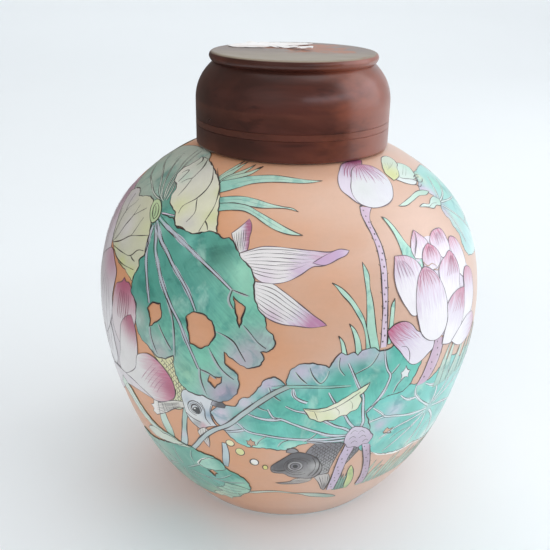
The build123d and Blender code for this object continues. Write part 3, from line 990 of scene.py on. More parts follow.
def left_lotus(side):
    """Lotus flower at the left, behind the goldfish, with a bright pink heart."""
    p = Piece("left_lotus", 0.1, side, pale_enamel)
    p.area(
        [(-65, 152), (-60, 138), (-55, 120), (-50, 96), (-60, 88), (-72, 92), (-84, 100), (-84, 120),
         (-76, 140)], "d0c6ca", ink=0)
    petals(p, [
        ([(-84, 97), (-90, 108), (-95, 122), (-96.5, 135), (-95, 150), (-91, 142), (-86, 130), (-80, 118),
          (-76, 104)], (-80, 100), (-95, 150), 0.8, "e4dfe2"),
        ([(-66, 152), (-69.5, 163), (-74, 176), (-79, 188), (-83, 196), (-87, 188), (-91, 174), (-93, 158),
          (-92, 140), (-88, 122), (-82, 106), (-74, 98), (-66, 110), (-60, 130), (-62, 140)], (-76, 98),
         (-81, 190), 0.8, "e4dfe2"),
        ([(-66, 84), (-72, 75), (-80, 71), (-88, 75), (-95, 86), (-96, 94), (-88, 98), (-78, 98),
          (-70, 94)], (-70, 90), (-94, 86), 0.8, "e6e1e3"),
    ], material=pale_enamel, blush="c8a0b2")
    petals(p, [
        ([(-66, 133), (-64, 131), (-61, 122), (-58.5, 112), (-58, 100), (-62, 92), (-69, 96), (-75, 106),
          (-74, 118), (-70, 128)], (-66, 95), (-65, 133), 0.8, "e2dedf"),
        ([(-80, 118), (-76, 126), (-72, 118), (-70, 108), (-68, 98), (-70, 88), (-76, 86), (-82, 96),
          (-84, 108)], (-74, 88), (-77, 126), 0.8, "e0dcdd"),
        ([(-64.5, 154), (-60, 150), (-57.2, 146), (-57.3, 141), (-58, 134), (-58, 125), (-60, 118),
          (-66, 108), (-74, 115), (-78, 130), (-76, 142), (-70, 150)], (-67, 108), (-62.5, 154), 0.75,
         "e2dddf"),
    ], material=pale_enamel, blush="c496a8")
    petals(p, [
        ([(-57.3, 131), (-57, 136), (-56, 141), (-52.5, 144.5), (-51.8, 146.5), (-50.5, 145),
          (-49.5, 145.5), (-46.5, 141), (-45, 138), (-45, 126), (-50, 118), (-54, 112), (-57, 118),
          (-58, 125)], (-52, 112), (-51.5, 146), 0.5, "d9cdcf"),
        ([(-46.5, 131.3), (-48.5, 129.5), (-52, 123), (-52.8, 117), (-54.5, 106), (-57, 97), (-57, 92),
          (-53, 94), (-49.5, 98.5), (-45, 106.5), (-44.2, 112), (-44, 120), (-44.7, 126)], (-54, 96),
         (-46.5, 131), 0.6, "dedad8"),
        ([(-44.2, 112), (-42, 114.3), (-39.5, 115.7), (-37.5, 115.3), (-33, 110.5), (-31.5, 107),
          (-30.8, 103), (-31, 98), (-34.5, 92.5), (-40, 89.5), (-44, 92), (-50, 94.5), (-54, 94), (-50, 98),
          (-46, 104)], (-50, 95), (-32, 103), 0.45, "e0dcda"),
        ([(-40, 89.7), (-50, 89), (-54, 87.5), (-60, 80), (-66, 74), (-72, 80), (-66, 90), (-57, 94),
          (-46.5, 93.3)], (-44, 91), (-70, 78), 0.9, "ddd5d8"),
    ], material=pale_enamel, blush=LOTUS_ROSE)
    rays(p, [(-77, 96), (-80, 84), (-84, 76)], [(-86, 94), (-90, 88), (-93, 86)], 4, 0.2, "a58d9c")
    p.finish()

    p = Piece("left_lotus_lines", 0.44, side)
    rays(p, [(-72, 150), (-76, 168), (-80, 184)], [(-90, 150), (-89, 168), (-85, 184)], 6, 0.22, "a58d9c")
    rays(p, [(-62, 100), (-60, 120), (-62, 140)], [(-68, 100), (-70, 120), (-66, 142)], 4, 0.22, "a58d9c")
    rays(p, [(-54, 126), (-53.6, 133), (-53, 140)], [(-49, 126), (-48, 133), (-48.5, 140)], 6, 0.34,
        "a24a68")
    rays(p, [(-38, 95), (-36, 100), (-32.5, 106)], [(-44, 99), (-41, 105), (-37.5, 112)], 6, 0.24, "ad6684")
    p.finish()

    p = Piece("folded_edge", 0.42, side, pale_enamel)
    p.area(
        [(-60, 83), (-56, 80), (-52, 73), (-47, 68), (-42, 65), (-37, 64), (-33, 65.5), (-36, 68),
         (-41, 69), (-45, 72), (-49, 78), (-53, 86), (-57, 90)], "cfe0d0", "9cc7b0", ((-56, 84), (-34, 66)),
        (0.2, 1.5), ink=0.36, ragged=0.3)
    p.line([(-55, 84), (-50, 76), (-45, 70.6), (-40, 67.2)], 0.35)
    p.area(
        [(-50, 62), (-47.5, 65.5), (-44, 67.4), (-41, 66.6), (-38, 67.4), (-34, 66.4), (-29, 65.4),
         (-33, 63.6), (-38, 62), (-43, 60), (-47, 59.4)], "d6dfcf", "b9cfb8", ((-48, 62), (-31, 65)),
        (0.2, 1.4), ink=0.36, ragged=0.2)
    p.finish()


def right_lotus(side):
    """Upright lotus flower at the right, on a prickly stalk."""
    p = Piece("right_lotus_stalk", 0.2, side)
    stem(p, [(42.6, 126), (41.4, 120), (39.8, 113), (38.6, 108), (37, 103.5)],
        [(46.4, 124), (45.6, 117), (44.2, 111), (42.8, 107), (41.5, 104.5)], "c6a8be", "d8c3d3")
    p.finish()

    p = Piece("right_lotus", 0.24, side, petal_enamel)
    p.area(
        [(36, 140), (36, 152), (38, 164), (42, 172), (50, 171), (56, 164), (60, 158), (63, 150), (65, 140),
         (64, 126), (58, 116), (50, 121), (44, 127), (38, 132)], "ddd3e0", ink=0)
    petals(p, [
        ([(54.5, 165), (57, 168), (60, 166), (62, 158), (61.5, 150), (58.5, 147), (56.5, 150), (55, 160)],
         (58, 147), (58, 168), 0.4),
        ([(37.5, 169), (38.5, 172.5), (41.5, 177.4), (43, 175), (45.2, 170), (44, 166), (41, 164),
          (38, 165)], (41, 160), (41.5, 178), 0.35),
        ([(46, 169.5), (47.5, 172.5), (49.5, 174), (52, 174.3), (54, 173.6), (55, 168), (54.5, 163.5),
          (50.5, 160.5), (48.5, 162), (47, 166)], (51, 155), (51, 175), 0.35),
        ([(30.5, 165.5), (31, 168), (35.5, 166.8), (38.5, 163), (39.3, 160.3), (37.5, 156), (36, 150),
          (35.4, 140), (34.6, 140), (32, 145), (30.5, 149.5), (29.5, 155), (29.5, 160)], (34, 142),
         (31.5, 168), 0.5),
        ([(40.8, 165), (42, 167.5), (44.8, 169.8), (47.5, 166.5), (48.7, 162), (47, 159), (44.5, 157.5),
          (40.5, 159.5)], (44, 152), (45, 170), 0.25),
        ([(53.7, 162.5), (55, 160.5), (56, 157), (56.5, 153), (55.3, 146), (55, 142.5), (52, 142),
          (48, 139.5), (47, 144), (46, 150), (46, 156), (48.5, 160), (50.5, 161)], (49, 142), (54, 163),
         0.3),
        ([(40.2, 160.2), (43.5, 157.5), (45, 154.5), (46.5, 149.5), (47.5, 143), (47.8, 137), (47.3, 131.5),
          (45.8, 127), (43.5, 125), (41.5, 125.2), (39, 127), (37, 130.5), (36, 135.5), (35.4, 141),
          (35.5, 147), (36.3, 152.5), (37.8, 157.5)], (42, 126), (40.2, 161), 0.42),
        ([(58, 142.5), (58.5, 148), (60.5, 151), (63, 150), (65, 147), (65.5, 140), (64, 130), (60, 125),
          (56, 124), (56, 134)], (60, 126), (62, 151), 0.35),
        ([(48, 140), (49.5, 141.8), (54, 143.6), (58, 142.5), (57.5, 138), (57, 132), (54, 123),
          (49.5, 119.3), (45.5, 121), (46.3, 127), (47.5, 132)], (49, 121), (56, 143), 0.35),
        ([(50, 119.8), (54, 124), (60, 127.5), (64, 126), (66, 121), (65, 116), (61, 113.8), (57, 113.5),
          (53, 116)], (52, 118), (66, 120), 0.45),
    ])
    p.line([(41.5, 176), (40.5, 172), (39, 168.5), (38, 166)], 0.35)
    rays(p, [(37.5, 152), (38, 155.5), (39.6, 159.3)], [(45.4, 151), (44.2, 155), (41.2, 158.8)], 6, 0.24,
        "bf7391")
    rays(p, [(31.4, 158), (31.1, 162), (31.3, 166)], [(36, 157.5), (35.3, 161.5), (33.2, 165.5)], 5, 0.22,
        "a9829c")
    rays(p, [(49, 152), (51, 156), (53.2, 160.5)], [(55.2, 151), (55, 156), (54.2, 160)], 6, 0.24, "bf7391")
    rays(p, [(50, 134), (52.5, 138.6), (54.3, 141.5)], [(55.5, 133), (56.2, 137.5), (56.8, 141)], 5, 0.24,
        "bf7391")
    rays(p, [(48.4, 167), (49, 170), (50.2, 172.5)], [(53, 167), (53.2, 170), (52.6, 172.8)], 5, 0.22,
        "a9829c")
    rays(p, [(42.8, 163), (43.4, 165.5), (44.5, 168.2)], [(47, 163), (46.4, 165.5), (45.2, 168.2)], 4, 0.26,
        "a8537a")
    p.lines([
        [(40.5, 162.5), (42, 160), (43.5, 160.6), (45.5, 158.4)], [(44, 158), (45.5, 156.8), (46.6, 158)],
    ], 0.3, 0.3, colour="b48a5c")
    p.finish()

    p = Piece("fallen_petal", 0.28, side, petal_enamel)
    p.area(
        [(26, 136), (27.5, 138), (29.5, 139), (32, 138.5), (34, 136), (35.3, 133), (36.8, 131.3),
         (38, 128.5), (40, 126), (42, 125), (41.5, 121), (40, 119.5), (38, 117.5), (36, 116.3),
         (34.5, 116.6), (31.5, 121.5), (30, 125), (28, 129), (26.5, 133)], "e6dfe8", MAGENTA,
        ((38, 119), (27, 138)), (0.2, 1.0), ink=0.4)
    p.line([(30.3, 127.3), (31.8, 126.8), (32.8, 124.5), (33.2, 120.5), (33, 118.3)], 0.45)
    rays(p, [(27, 134), (29, 131), (31.5, 130)], [(30.5, 138), (33.5, 134), (36.5, 129)], 6, 0.26, "b5688b")
    p.finish()


def bud(side):
    """Pink lotus bud at the shoulder on a prickly stalk."""
    p = Piece("bud_stalk", 0.14, side)
    stem(p,
        [(25.5, 193.8), (24.8, 190), (25, 185), (25.6, 180), (26, 172), (25.7, 163), (25.2, 155), (25, 148),
         (24.5, 140), (24, 129)],
        [(30, 192.6), (28.3, 190), (27, 186), (27.3, 181), (27.9, 174), (27.8, 166), (27.2, 158),
         (26.6, 150), (26.2, 143), (25.8, 129)], "cfb4cb", "dac6d8")
    p.line([(25.5, 193.8), (26.8, 194.4), (28.5, 193.6), (30, 192.6)], 0.9, 0.2)
    p.finish()

    p = Piece("bud", 0.2, side, petal_enamel, PETAL_EDGE)
    p.area(
        [(44, 221.4), (38, 222.2), (33, 221.8), (28.5, 220.3), (25.5, 217), (22.5, 212.5), (21, 208),
         (21, 204), (23, 200), (25.2, 196), (27.5, 193.6), (32, 200), (36, 212)], "dcd2e2", "b05585",
        ((24, 198), (36, 223)), (0.35, 1.0), spots=[(37, 221, 5, "8a3a5c", 0.8)], ink=0.4)
    p.area(
        [(45, 216.3), (42.5, 217.6), (38.5, 218.4), (35.5, 217.8), (31.5, 215.3), (29, 211.5),
         (27.4, 208.5), (25.7, 205), (25, 202), (25, 199), (26, 195.6), (30, 192.3), (34, 191.9),
         (38, 192.9), (41, 194.8), (44, 198.5), (46.5, 202.8), (47.5, 207), (47.2, 212.5)], "dfdfe4",
        "b9568a", ((34, 192), (38, 219)), (0.5, 1.05),
        spots=[(31, 203, 6, "d8dcdc", 0.9), (42, 200, 6, "dcdbe4", 0.9)], ink=0.4)
    rays(p, [(30.5, 208.5), (32.5, 212.5), (36, 216.8)], [(45.5, 205), (44.5, 210), (41, 216.5)], 8, 0.32,
        "a9568a")
    rays(p, [(34.5, 206), (36, 212), (38, 217.5)], [(42.5, 203.5), (42, 211), (40, 217.2)], 3, 0.26,
        "9b5382")
    rays(p, [(25.6, 212), (28.5, 217), (33, 220.5)], [(28, 209.5), (30, 214.5), (34, 219)], 3, 0.34,
        "a44c77")
    p.finish()


def insect(side):
    """Pale green winged insect at the right of the bud, facing down to the left."""
    p = Piece("insect", 0.16, side, pale_enamel)
    p.area(
        [(53, 205), (58.5, 203.5), (62.8, 200.5), (64.5, 199), (60.2, 197.5), (56.2, 199.5), (53, 202.5),
         (51.3, 204.5)], "dce3e2", ink=0.36)
    p.area(
        [(55, 206.5), (60, 209.3), (65.2, 211.8), (68.8, 210), (70.8, 206), (69, 203), (64, 200),
         (60, 201.6), (55, 205)], "d3e3da", "b6d9c9", ((55, 204), (70, 206)), (0.2, 1.3), ink=0.4)
    for share in (0.3, 0.6):
        p.line(
            [between((57, 206), (62, 202.5), share), between((62, 208.5), (66, 204), share),
             between((67, 210), (69.6, 206), share)], 0.28, colour="9fb5a6")
    p.area(
        [(49.8, 204), (52.8, 204.3), (57.2, 206.3), (59.8, 209), (65.5, 212), (67.2, 214.5), (67.5, 217),
         (64.8, 218.6), (59, 218.2), (55, 215.8), (51.5, 213), (49, 209.4), (49.2, 206)], "d6dda6",
        "c9d8c4", ((51, 205), (62, 217)), (0.2, 0.9), ink=0.42, spots=[(52, 207, 3, YELLOW_GREEN, 0.9)],
        ragged=0.15)
    for share in (0.2, 0.4, 0.6, 0.8):
        p.line(
            [between((51, 210), (57, 208.5), share) + np.array([0, share * 3]),
             between((55, 216), (65, 212.5), share)], 0.28, colour="a4b08f")
    p.lines([
        [(62, 200.2), (65, 198.6), (66, 199.8), (69, 199.4)], [(63, 199), (66, 196.8), (70, 197.8)],
        [(60.5, 198), (61.5, 195.6), (64.5, 196)], [(64.5, 201), (67.5, 201.4), (70.5, 200.2)],
    ], 0.5, 0.5)
    p.finish()


def upper_right_leaf(side):
    """Leaf that turns round the right shoulder, with two curled blades in front."""
    p = Piece("upper_right_leaf", 0.1, side)
    p.area(
        [(67, 202), (64, 198), (60.5, 195.5), (58.5, 193), (61, 191.5), (63.5, 190.5), (64.8, 188),
         (63.2, 185), (64, 182), (62.4, 180), (62.2, 177.5), (63.2, 174.5), (63, 171), (64.5, 166),
         (64, 160), (66, 154.5), (70, 152), (76, 150), (84, 148), (92, 150), (95, 160), (95, 175),
         (95, 190), (92, 198), (84, 201.5), (74, 202.5)], "96d2cd", "c4e4e1", ((66, 188), (84, 160)),
        (0.2, 1.2), ink=0.36, ragged=0.35,
        spots=[(62, 193, 7, "c9b9cf", 0.95), (64, 186.5, 6, PALE_LILAC, 0.95),
               (63.5, 176.5, 5, "c9b9cf", 0.95), (66, 169, 5, "c7d6d2", 0.8), (69, 200, 4, CREAM, 0.8),
               (78, 190, 8, MINT, 0.7), (90, 175, 10, TEAL, 0.6), (69, 160, 5, "a9cdd0", 0.7)])
    ribs(p, [
        [(64, 184), (70, 184.5), (77, 186), (86, 190)], [(66, 183.5), (74, 181), (84, 178)],
        [(65, 182), (70, 175), (76, 166), (82, 158)], [(64.5, 181), (66, 172), (68, 160)],
        [(66, 185), (72, 191), (78, 196)], [(76, 166), (84, 166), (92, 168)],
    ], 1.2, "d2e0dc", 0.28)
    p.area(
        [(41.5, 190.5), (45, 191.6), (50, 193), (57, 194.3), (61.5, 193.2), (64.5, 191), (61, 190.4),
         (56, 191.7), (50, 190.6), (44, 189.6)], "c6ddcf", "a9cfbd", ((41.5, 190.5), (64, 191)), (0.0, 1.4),
        material=pale_enamel, ink=0.36)
    p.area(
        [(51, 186.8), (54.5, 187.4), (57, 186), (60.5, 187.6), (64.5, 187.6), (66.5, 184.6), (64, 182.2),
         (61, 183.6), (58.5, 183), (55, 185)], "cfe0d8", "a9cfc0", ((51, 187), (66, 184)), (0.0, 1.4),
        material=pale_enamel, ink=0.36)
    p.line([(53, 186.6), (56, 184.8), (59.5, 185.4), (62.5, 184.4)], 0.3)
    p.finish()


def middle_grass(side):
    """Grass round the bud's stalk, above the lower leaf."""
    p = Piece("middle_grass", 0.09, side)
    for tip, one, other in (
        ((20.6, 167.8), [(20.5, 163), (20.6, 155), (20.4, 147), (20.2, 140), (20.3, 127)],
         [(22, 162), (21.8, 157), (22.3, 150), (22.5, 145), (22.8, 138), (24, 127)]),
        ((11.5, 160), [(12.3, 158.5), (14, 154.5), (16, 150.5), (17.5, 146), (19, 141), (20, 127)],
         [(14, 157.5), (16.5, 153), (18, 149), (19.5, 144), (20.3, 138), (21.5, 127)]),
        ((15.6, 142), [(16.2, 139), (16.8, 135), (17.3, 127)], [(17, 139.5), (18, 136), (19, 127)]),
        ((12.8, 137), [(13.2, 134.5), (13.6, 130), (14, 124)], [(14, 134.5), (14.8, 130), (15.4, 124)]),
        ((28.8, 150), [(27.6, 147.5), (27, 143), (26.3, 135), (26, 130)],
         [(28.5, 146), (27.9, 140), (27.4, 134), (27, 130)]),
    ):
        blade(p, tip, one, other, "bcdecb", "a2d4bf", 0.38)
    p.area(
        [(31.8, 187), (33, 186), (34.5, 182), (35.5, 177.5), (36.2, 174), (38, 169), (40.5, 165), (40, 160),
         (33.7, 162), (33.8, 173), (33.5, 178), (32.7, 183)], "b9dfcc", "a6d8c6", ((31.8, 187), (36, 165)),
        (0.0, 1.3), ink=0.38)
    p.line([(31.8, 187), (32.4, 185.4)], 0.9, 0.5)
    p.finish()


def lower_leaf(side):
    """Broad turquoise leaf across the front, with lilac scalloped rims and a cream fold."""
    p = Piece("lower_leaf", 0.24, side)
    p.area(
        [(-20, 95), (-19, 97), (-17, 99.5), (-12.8, 100.5), (-12.3, 103), (-12, 104), (-10.5, 106.3),
         (-9, 106.8), (-8.3, 108.5), (-6.5, 113), (-5.5, 116), (-3.8, 117.8), (-2.2, 117.8), (-0.7, 115.5),
         (0, 113.8), (0.3, 118), (1, 121.5), (2.5, 124), (4.5, 125), (7, 124.8), (9, 124), (10.5, 122.8),
         (11.3, 124.5), (12.2, 127.5), (13.5, 129), (15.3, 128), (16.8, 128.8), (17.8, 127.5), (19, 129),
         (20.5, 129.8), (22.5, 129.3), (23.8, 127.8), (26, 127.5), (28, 129), (31, 124), (33.3, 118.3),
         (36, 116.3), (38, 117.5), (37, 114), (35.5, 109), (34, 105.2), (31, 103), (29, 103.3), (27, 102.8),
         (24.5, 101), (21.5, 96.5), (23, 90), (24, 84), (23, 79), (19.5, 79), (16.3, 79), (13, 79.8),
         (7, 80.7), (4.5, 79.8), (2.5, 78), (1, 76.5), (-1, 75.8), (-4.5, 76.5), (-8, 76.3), (-10.5, 76.3),
         (-12.5, 77.5), (-14, 79.5), (-17, 85.5), (-19, 90)], "50bcaa", "74cdbe", ((5, 120), (10, 80)),
        (0.0, 1.2), ragged=0.3, ink=0.5,
        spots=[(-17, 95, 7, PALE_LILAC, 1.0), (-10.5, 103, 6, "cfc6d3", 1.0),
               (-4.5, 114.5, 6.5, "c6b9cd", 1.0), (3.5, 121, 7, "bfb6c9", 1.0), (8, 122, 5, "c9c2d2", 0.9),
               (13.5, 127, 5.5, "b9afc2", 1.0), (19, 127.5, 6, "c0b8cb", 1.0),
               (24, 125, 4.5, "b3b8c4", 0.9), (20, 83, 5, PALE_LILAC, 1.0), (24, 79, 4, LILAC, 0.9),
               (-15, 88, 7, "cfc5d0", 1.0), (-8, 79, 4, PALE_MINT, 0.8), (12, 108, 5, "41a391", 0.7),
               (22, 112, 6, "46a797", 0.6), (6, 90, 8, "52b5a3", 0.7), (30, 108, 5, "5fb9ae", 0.7),
               (-2, 104, 5, "46a591", 0.8), (2, 78.5, 4, PALE_MINT, 0.7), (0, 98, 5, "53b7a4", 0.8),
               (31, 113, 5, "8ccdc2", 0.6), (16, 93, 5, "7cc6bd", 0.6), (19, 121, 4, "3f9f90", 0.8),
               (23, 117, 4, "43a394", 0.7), (14, 117, 4, "3fa090", 0.8), (-12, 94, 5, "3fa592", 0.8),
               (-6, 90, 4, "45ab98", 0.8), (5, 87, 4, "45ab9b", 0.7), (18, 103, 4, "46a898", 0.7),
               (7, 113, 5, "8fd0c4", 0.6), (-7, 99, 4, "84cbbb", 0.7)])
    ribs(p, [
        [(18, 83.5), (12, 85), (8, 88), (2, 93), (-1, 95.5), (-3, 96.3), (-4, 99), (-4.5, 101)],
        [(-1, 95.5), (-5.5, 95), (-8, 96), (-10, 97.5)],
        [(17, 82.5), (10, 82.6), (2.8, 83.3), (-5, 85), (-10.8, 87.3), (-12.5, 90.5), (-13.8, 91.7)],
        [(-10.8, 87.3), (-14, 85.3), (-16.5, 84.5)],
        [(18.5, 85), (16, 88.3), (13.5, 90.3), (10.5, 94), (5, 99.5), (2.5, 100.7), (0, 103)],
        [(20, 86), (17, 92), (15.8, 96), (12.3, 105), (10.8, 110)],
        [(20.5, 86), (21.3, 91), (21, 94), (20.5, 100), (20.2, 105.8), (18.5, 112), (17, 118), (15.5, 124)],
        [(21.5, 96), (25, 103), (27, 110), (27.5, 114.5), (26.6, 117), (25.7, 122), (25.3, 128)],
        [(5.5, 105), (3.5, 106.5), (2.2, 108.5), (1.8, 113)], [(17.5, 80.5), (12, 80.8), (6, 81.4)],
    ], 1.6, "cdd3db", 0.38)
    creases(p, [
        [(27.5, 114.5), (29, 117), (30, 119)], [(17, 118), (19, 119.5), (21, 121), (23.5, 127)],
        [(5.5, 123), (6.5, 118.5), (8.5, 115), (9.8, 117.5), (10.4, 121)],
        [(-4.5, 113), (-3.5, 109), (-1.5, 106)], [(-9, 104), (-7, 101.5), (-4.5, 100)],
        [(2, 121), (3.5, 117.5), (5, 115)], [(13, 127), (13, 122), (14.5, 118)],
        [(-2, 78), (-1, 81), (1, 83)], [(-8, 78), (-7, 81.5), (-5, 84.5)], [(5, 81.5), (7, 84), (8.5, 87)],
        [(29, 104), (30, 108), (32, 111)],
    ], 0.75, "b3c7c2", 0.46)
    double_rib(p, [(-3.5, 112.6), (1.8, 113.6), (5.2, 113.6), (9.8, 113), (16.5, 112.5)], 1.8, "8cc3b6",
        0.36)
    p.area(star((32.3, 113.2), 2.3, 3.9), "e3e6e6", ink=0.34, material=pale_enamel)
    p.area(star((-9.3, 79.2), 1.9, 3.0, 6), "c79a80", ink=0.34, material=pale_enamel)
    p.finish()

    p = Piece("leaf_heart", 0.36, side, pale_enamel, PETAL_EDGE)
    p.area(
        [(16.6, 80), (17, 84), (17.8, 87), (19.3, 88.6), (21, 87.6), (22.8, 86), (24.2, 83), (25.3, 80.5),
         (25.2, 77.6), (24.4, 75.6), (22.6, 75.4), (21.4, 73.8), (19.8, 75), (18.2, 75.2), (17.2, 77.4)],
        "c3b4c6", "d5cad9", ((21, 74), (20, 88)), (0.1, 1.2), ink=0.42, ragged=0.2)
    p.lines([
        [(18.2, 84), (19, 86), (20.2, 85)], [(20.4, 83.4), (21.4, 85.2), (22.4, 83.6)],
        [(18, 80.6), (19, 82.2), (20, 81)], [(21, 80.4), (22.2, 81.8), (23.2, 80.2)],
        [(18.8, 77.6), (19.8, 79), (20.8, 77.6)], [(22.4, 77.2), (23.4, 78.6), (24.2, 77.4)],
    ], 0.3, 0.3)
    p.finish()

    p = Piece("leaf_fold", 0.32, side, pale_enamel)
    p.area(
        [(4.4, 102), (7.2, 101.4), (10, 101.8), (12.8, 104), (16.8, 108.2), (19.3, 110.6), (21.6, 112.8),
         (20.9, 109.4), (19.2, 106.8), (19.8, 104), (19.4, 101.2), (18.4, 98.6), (17.2, 98.3), (16.2, 96.6),
         (14.4, 96.4), (12.8, 94.2), (11, 94.6), (9.2, 93.8), (7.6, 95.2), (6.2, 96.6), (5.4, 99.4)],
        "e3e3c6", "dfe6cb", ((7, 97), (19, 108)), ink=0.45,
        spots=[(14, 100, 4, "ecebd9", 0.9), (7, 99, 3, "d9d29a", 0.7), (11, 96, 3, "dbe2ae", 0.7),
               (19.5, 108.5, 3, "d3dfb4", 0.7)], ragged=0.15)
    p.line([(5, 101.4), (9, 99.8), (12.6, 101.4), (16.6, 105.4), (19.2, 108.6)], 0.34, 0.5)
    p.lines([
        [(7.4, 100), (8, 97.4), (8.4, 95)], [(12.8, 101.4), (14, 99), (14, 97)],
        [(16.4, 105), (17.4, 102.4), (17.4, 99.4)],
    ], 0.28, 0.5, colour="6a6a4c")
    p.finish()

    p = Piece("leaf_stalk", 0.36, side, pale_enamel)
    middle = [(-28.5, 66), (-27, 69), (-24.5, 75), (-22, 80), (-19.5, 84), (-16, 88), (-11, 97),
              (-6, 105.5), (-2.5, 110.5), (0.5, 113.6)]
    stem_left = [(a - 0.55, c + 0.75) for a, c in middle]
    stem_right = [(a + 0.6, c - 0.75) for a, c in middle]
    p.area([*stem_left, *reversed(stem_right)], "b9c6c6", "a3b3ae", (middle[0], middle[-1]), ink=0)
    p.line(stem_left, 0.6, 0.3)
    p.line(stem_right, 0.5, 0.3)
    p.finish()


def right_leaf(side):
    """Paler turquoise leaf at the lower right, running round the side."""
    p = Piece("right_leaf_grass", 0.09, side)
    for i in range(9):
        foot, top = 46 + 3.1 * i, 120 + 5 * math.sin(2.4 * i) - 1.3 * i
        p.next = 0.15 + FILL_STEP * (i % 3)
        blade(p, (foot + 4.5, top), [(foot + 1.2, top - 9), (foot - 1, 97)],
            [(foot + 3, top - 10), (foot + 2, 97)], "c5d3c4", "93c2b5", 0.28, GRASS_EDGE)
    p.finish()

    p = Piece("right_leaf", 0.12, side)
    p.area(
        [(22, 101), (27, 103), (31, 103), (34.5, 105.5), (38, 104.3), (43, 104.5), (46, 107.5), (51, 110.5),
         (55, 109), (59, 105), (64, 107), (70, 102), (75, 95), (77, 84), (74, 72), (68, 62), (62, 56),
         (55, 55.5), (50, 58), (45, 60.5), (40, 60), (35, 61.5), (30, 64), (27, 67), (22, 72), (20, 78),
         (19, 90)], "6bc8bd", "94dad2", ((30, 95), (66, 62)), (0.2, 1.2), ragged=0.35,
        spots=[(46, 85, 4, "d9e0dc", 0.9), (38, 99, 5, "74c6b8", 0.8), (54, 100, 7, "a9cfd0", 0.8),
               (31, 93, 5, "c3c9d6", 0.95), (27, 86, 4, "c6bfd0", 0.9), (32, 68, 6, "6fbcae", 0.8),
               (58, 62, 6, WHITE, 0.6), (37, 88, 5, "55b5a3", 0.7), (66, 85, 8, "b3d0d2", 0.7),
               (40, 70, 6, "8fccc4", 0.7), (42, 62, 4, PALE_MINT, 0.9), (52, 60, 4, "e0ece4", 0.9)],
        holes=[[(28.7, 80), (30, 82.5), (30.8, 81), (32.2, 81.8), (31.4, 79.8), (32, 77.8), (30.2, 78.6)]])
    ribs(p, [
        [(45, 84.5), (40, 85.5), (36, 86.8), (31, 89.3), (28, 90.8), (26.5, 93.5), (23.8, 97.5)],
        [(28, 90.8), (25, 90), (22, 89)], [(45.5, 86), (42, 90.5), (39.5, 94.5), (37.5, 99), (37.3, 104)],
        [(38, 96.3), (35, 97), (32, 101)], [(46.5, 86), (47.5, 92), (46.8, 97.5), (44, 99.5), (41, 102.5)],
        [(46.8, 97.5), (48, 100), (49, 107)], [(44, 83), (38, 82), (34, 81), (28, 76)],
        [(44.5, 82), (40, 76), (35, 70), (31, 65)], [(45.5, 81), (45, 74), (43, 67), (41, 61)],
        [(47, 82), (51, 74), (53, 66), (54, 57)], [(48, 84), (56, 80), (64, 74), (70, 68)],
        [(48, 86), (56, 90), (66, 92), (74, 92)], [(47.5, 87), (53, 95), (57, 103)],
    ], 1.5, "d9e2e4", 0.26)
    creases(p, [
        [(40, 76), (36, 76.5), (32, 73.5)], [(51, 74), (47, 69), (46, 62)], [(56, 80), (60, 72), (61, 62)],
        [(56, 90), (60, 96), (62, 104)], [(53, 95), (52, 101), (52, 106)],
    ], 0.7, "c4dcd6", 0.32)
    p.line([(24, 71), (27, 67), (30, 63.6), (35, 60.6), (40, 59.2), (45, 59.4), (50, 57), (56, 54.6)], 1.3,
        0.5, colour=WHITE)
    p.finish()


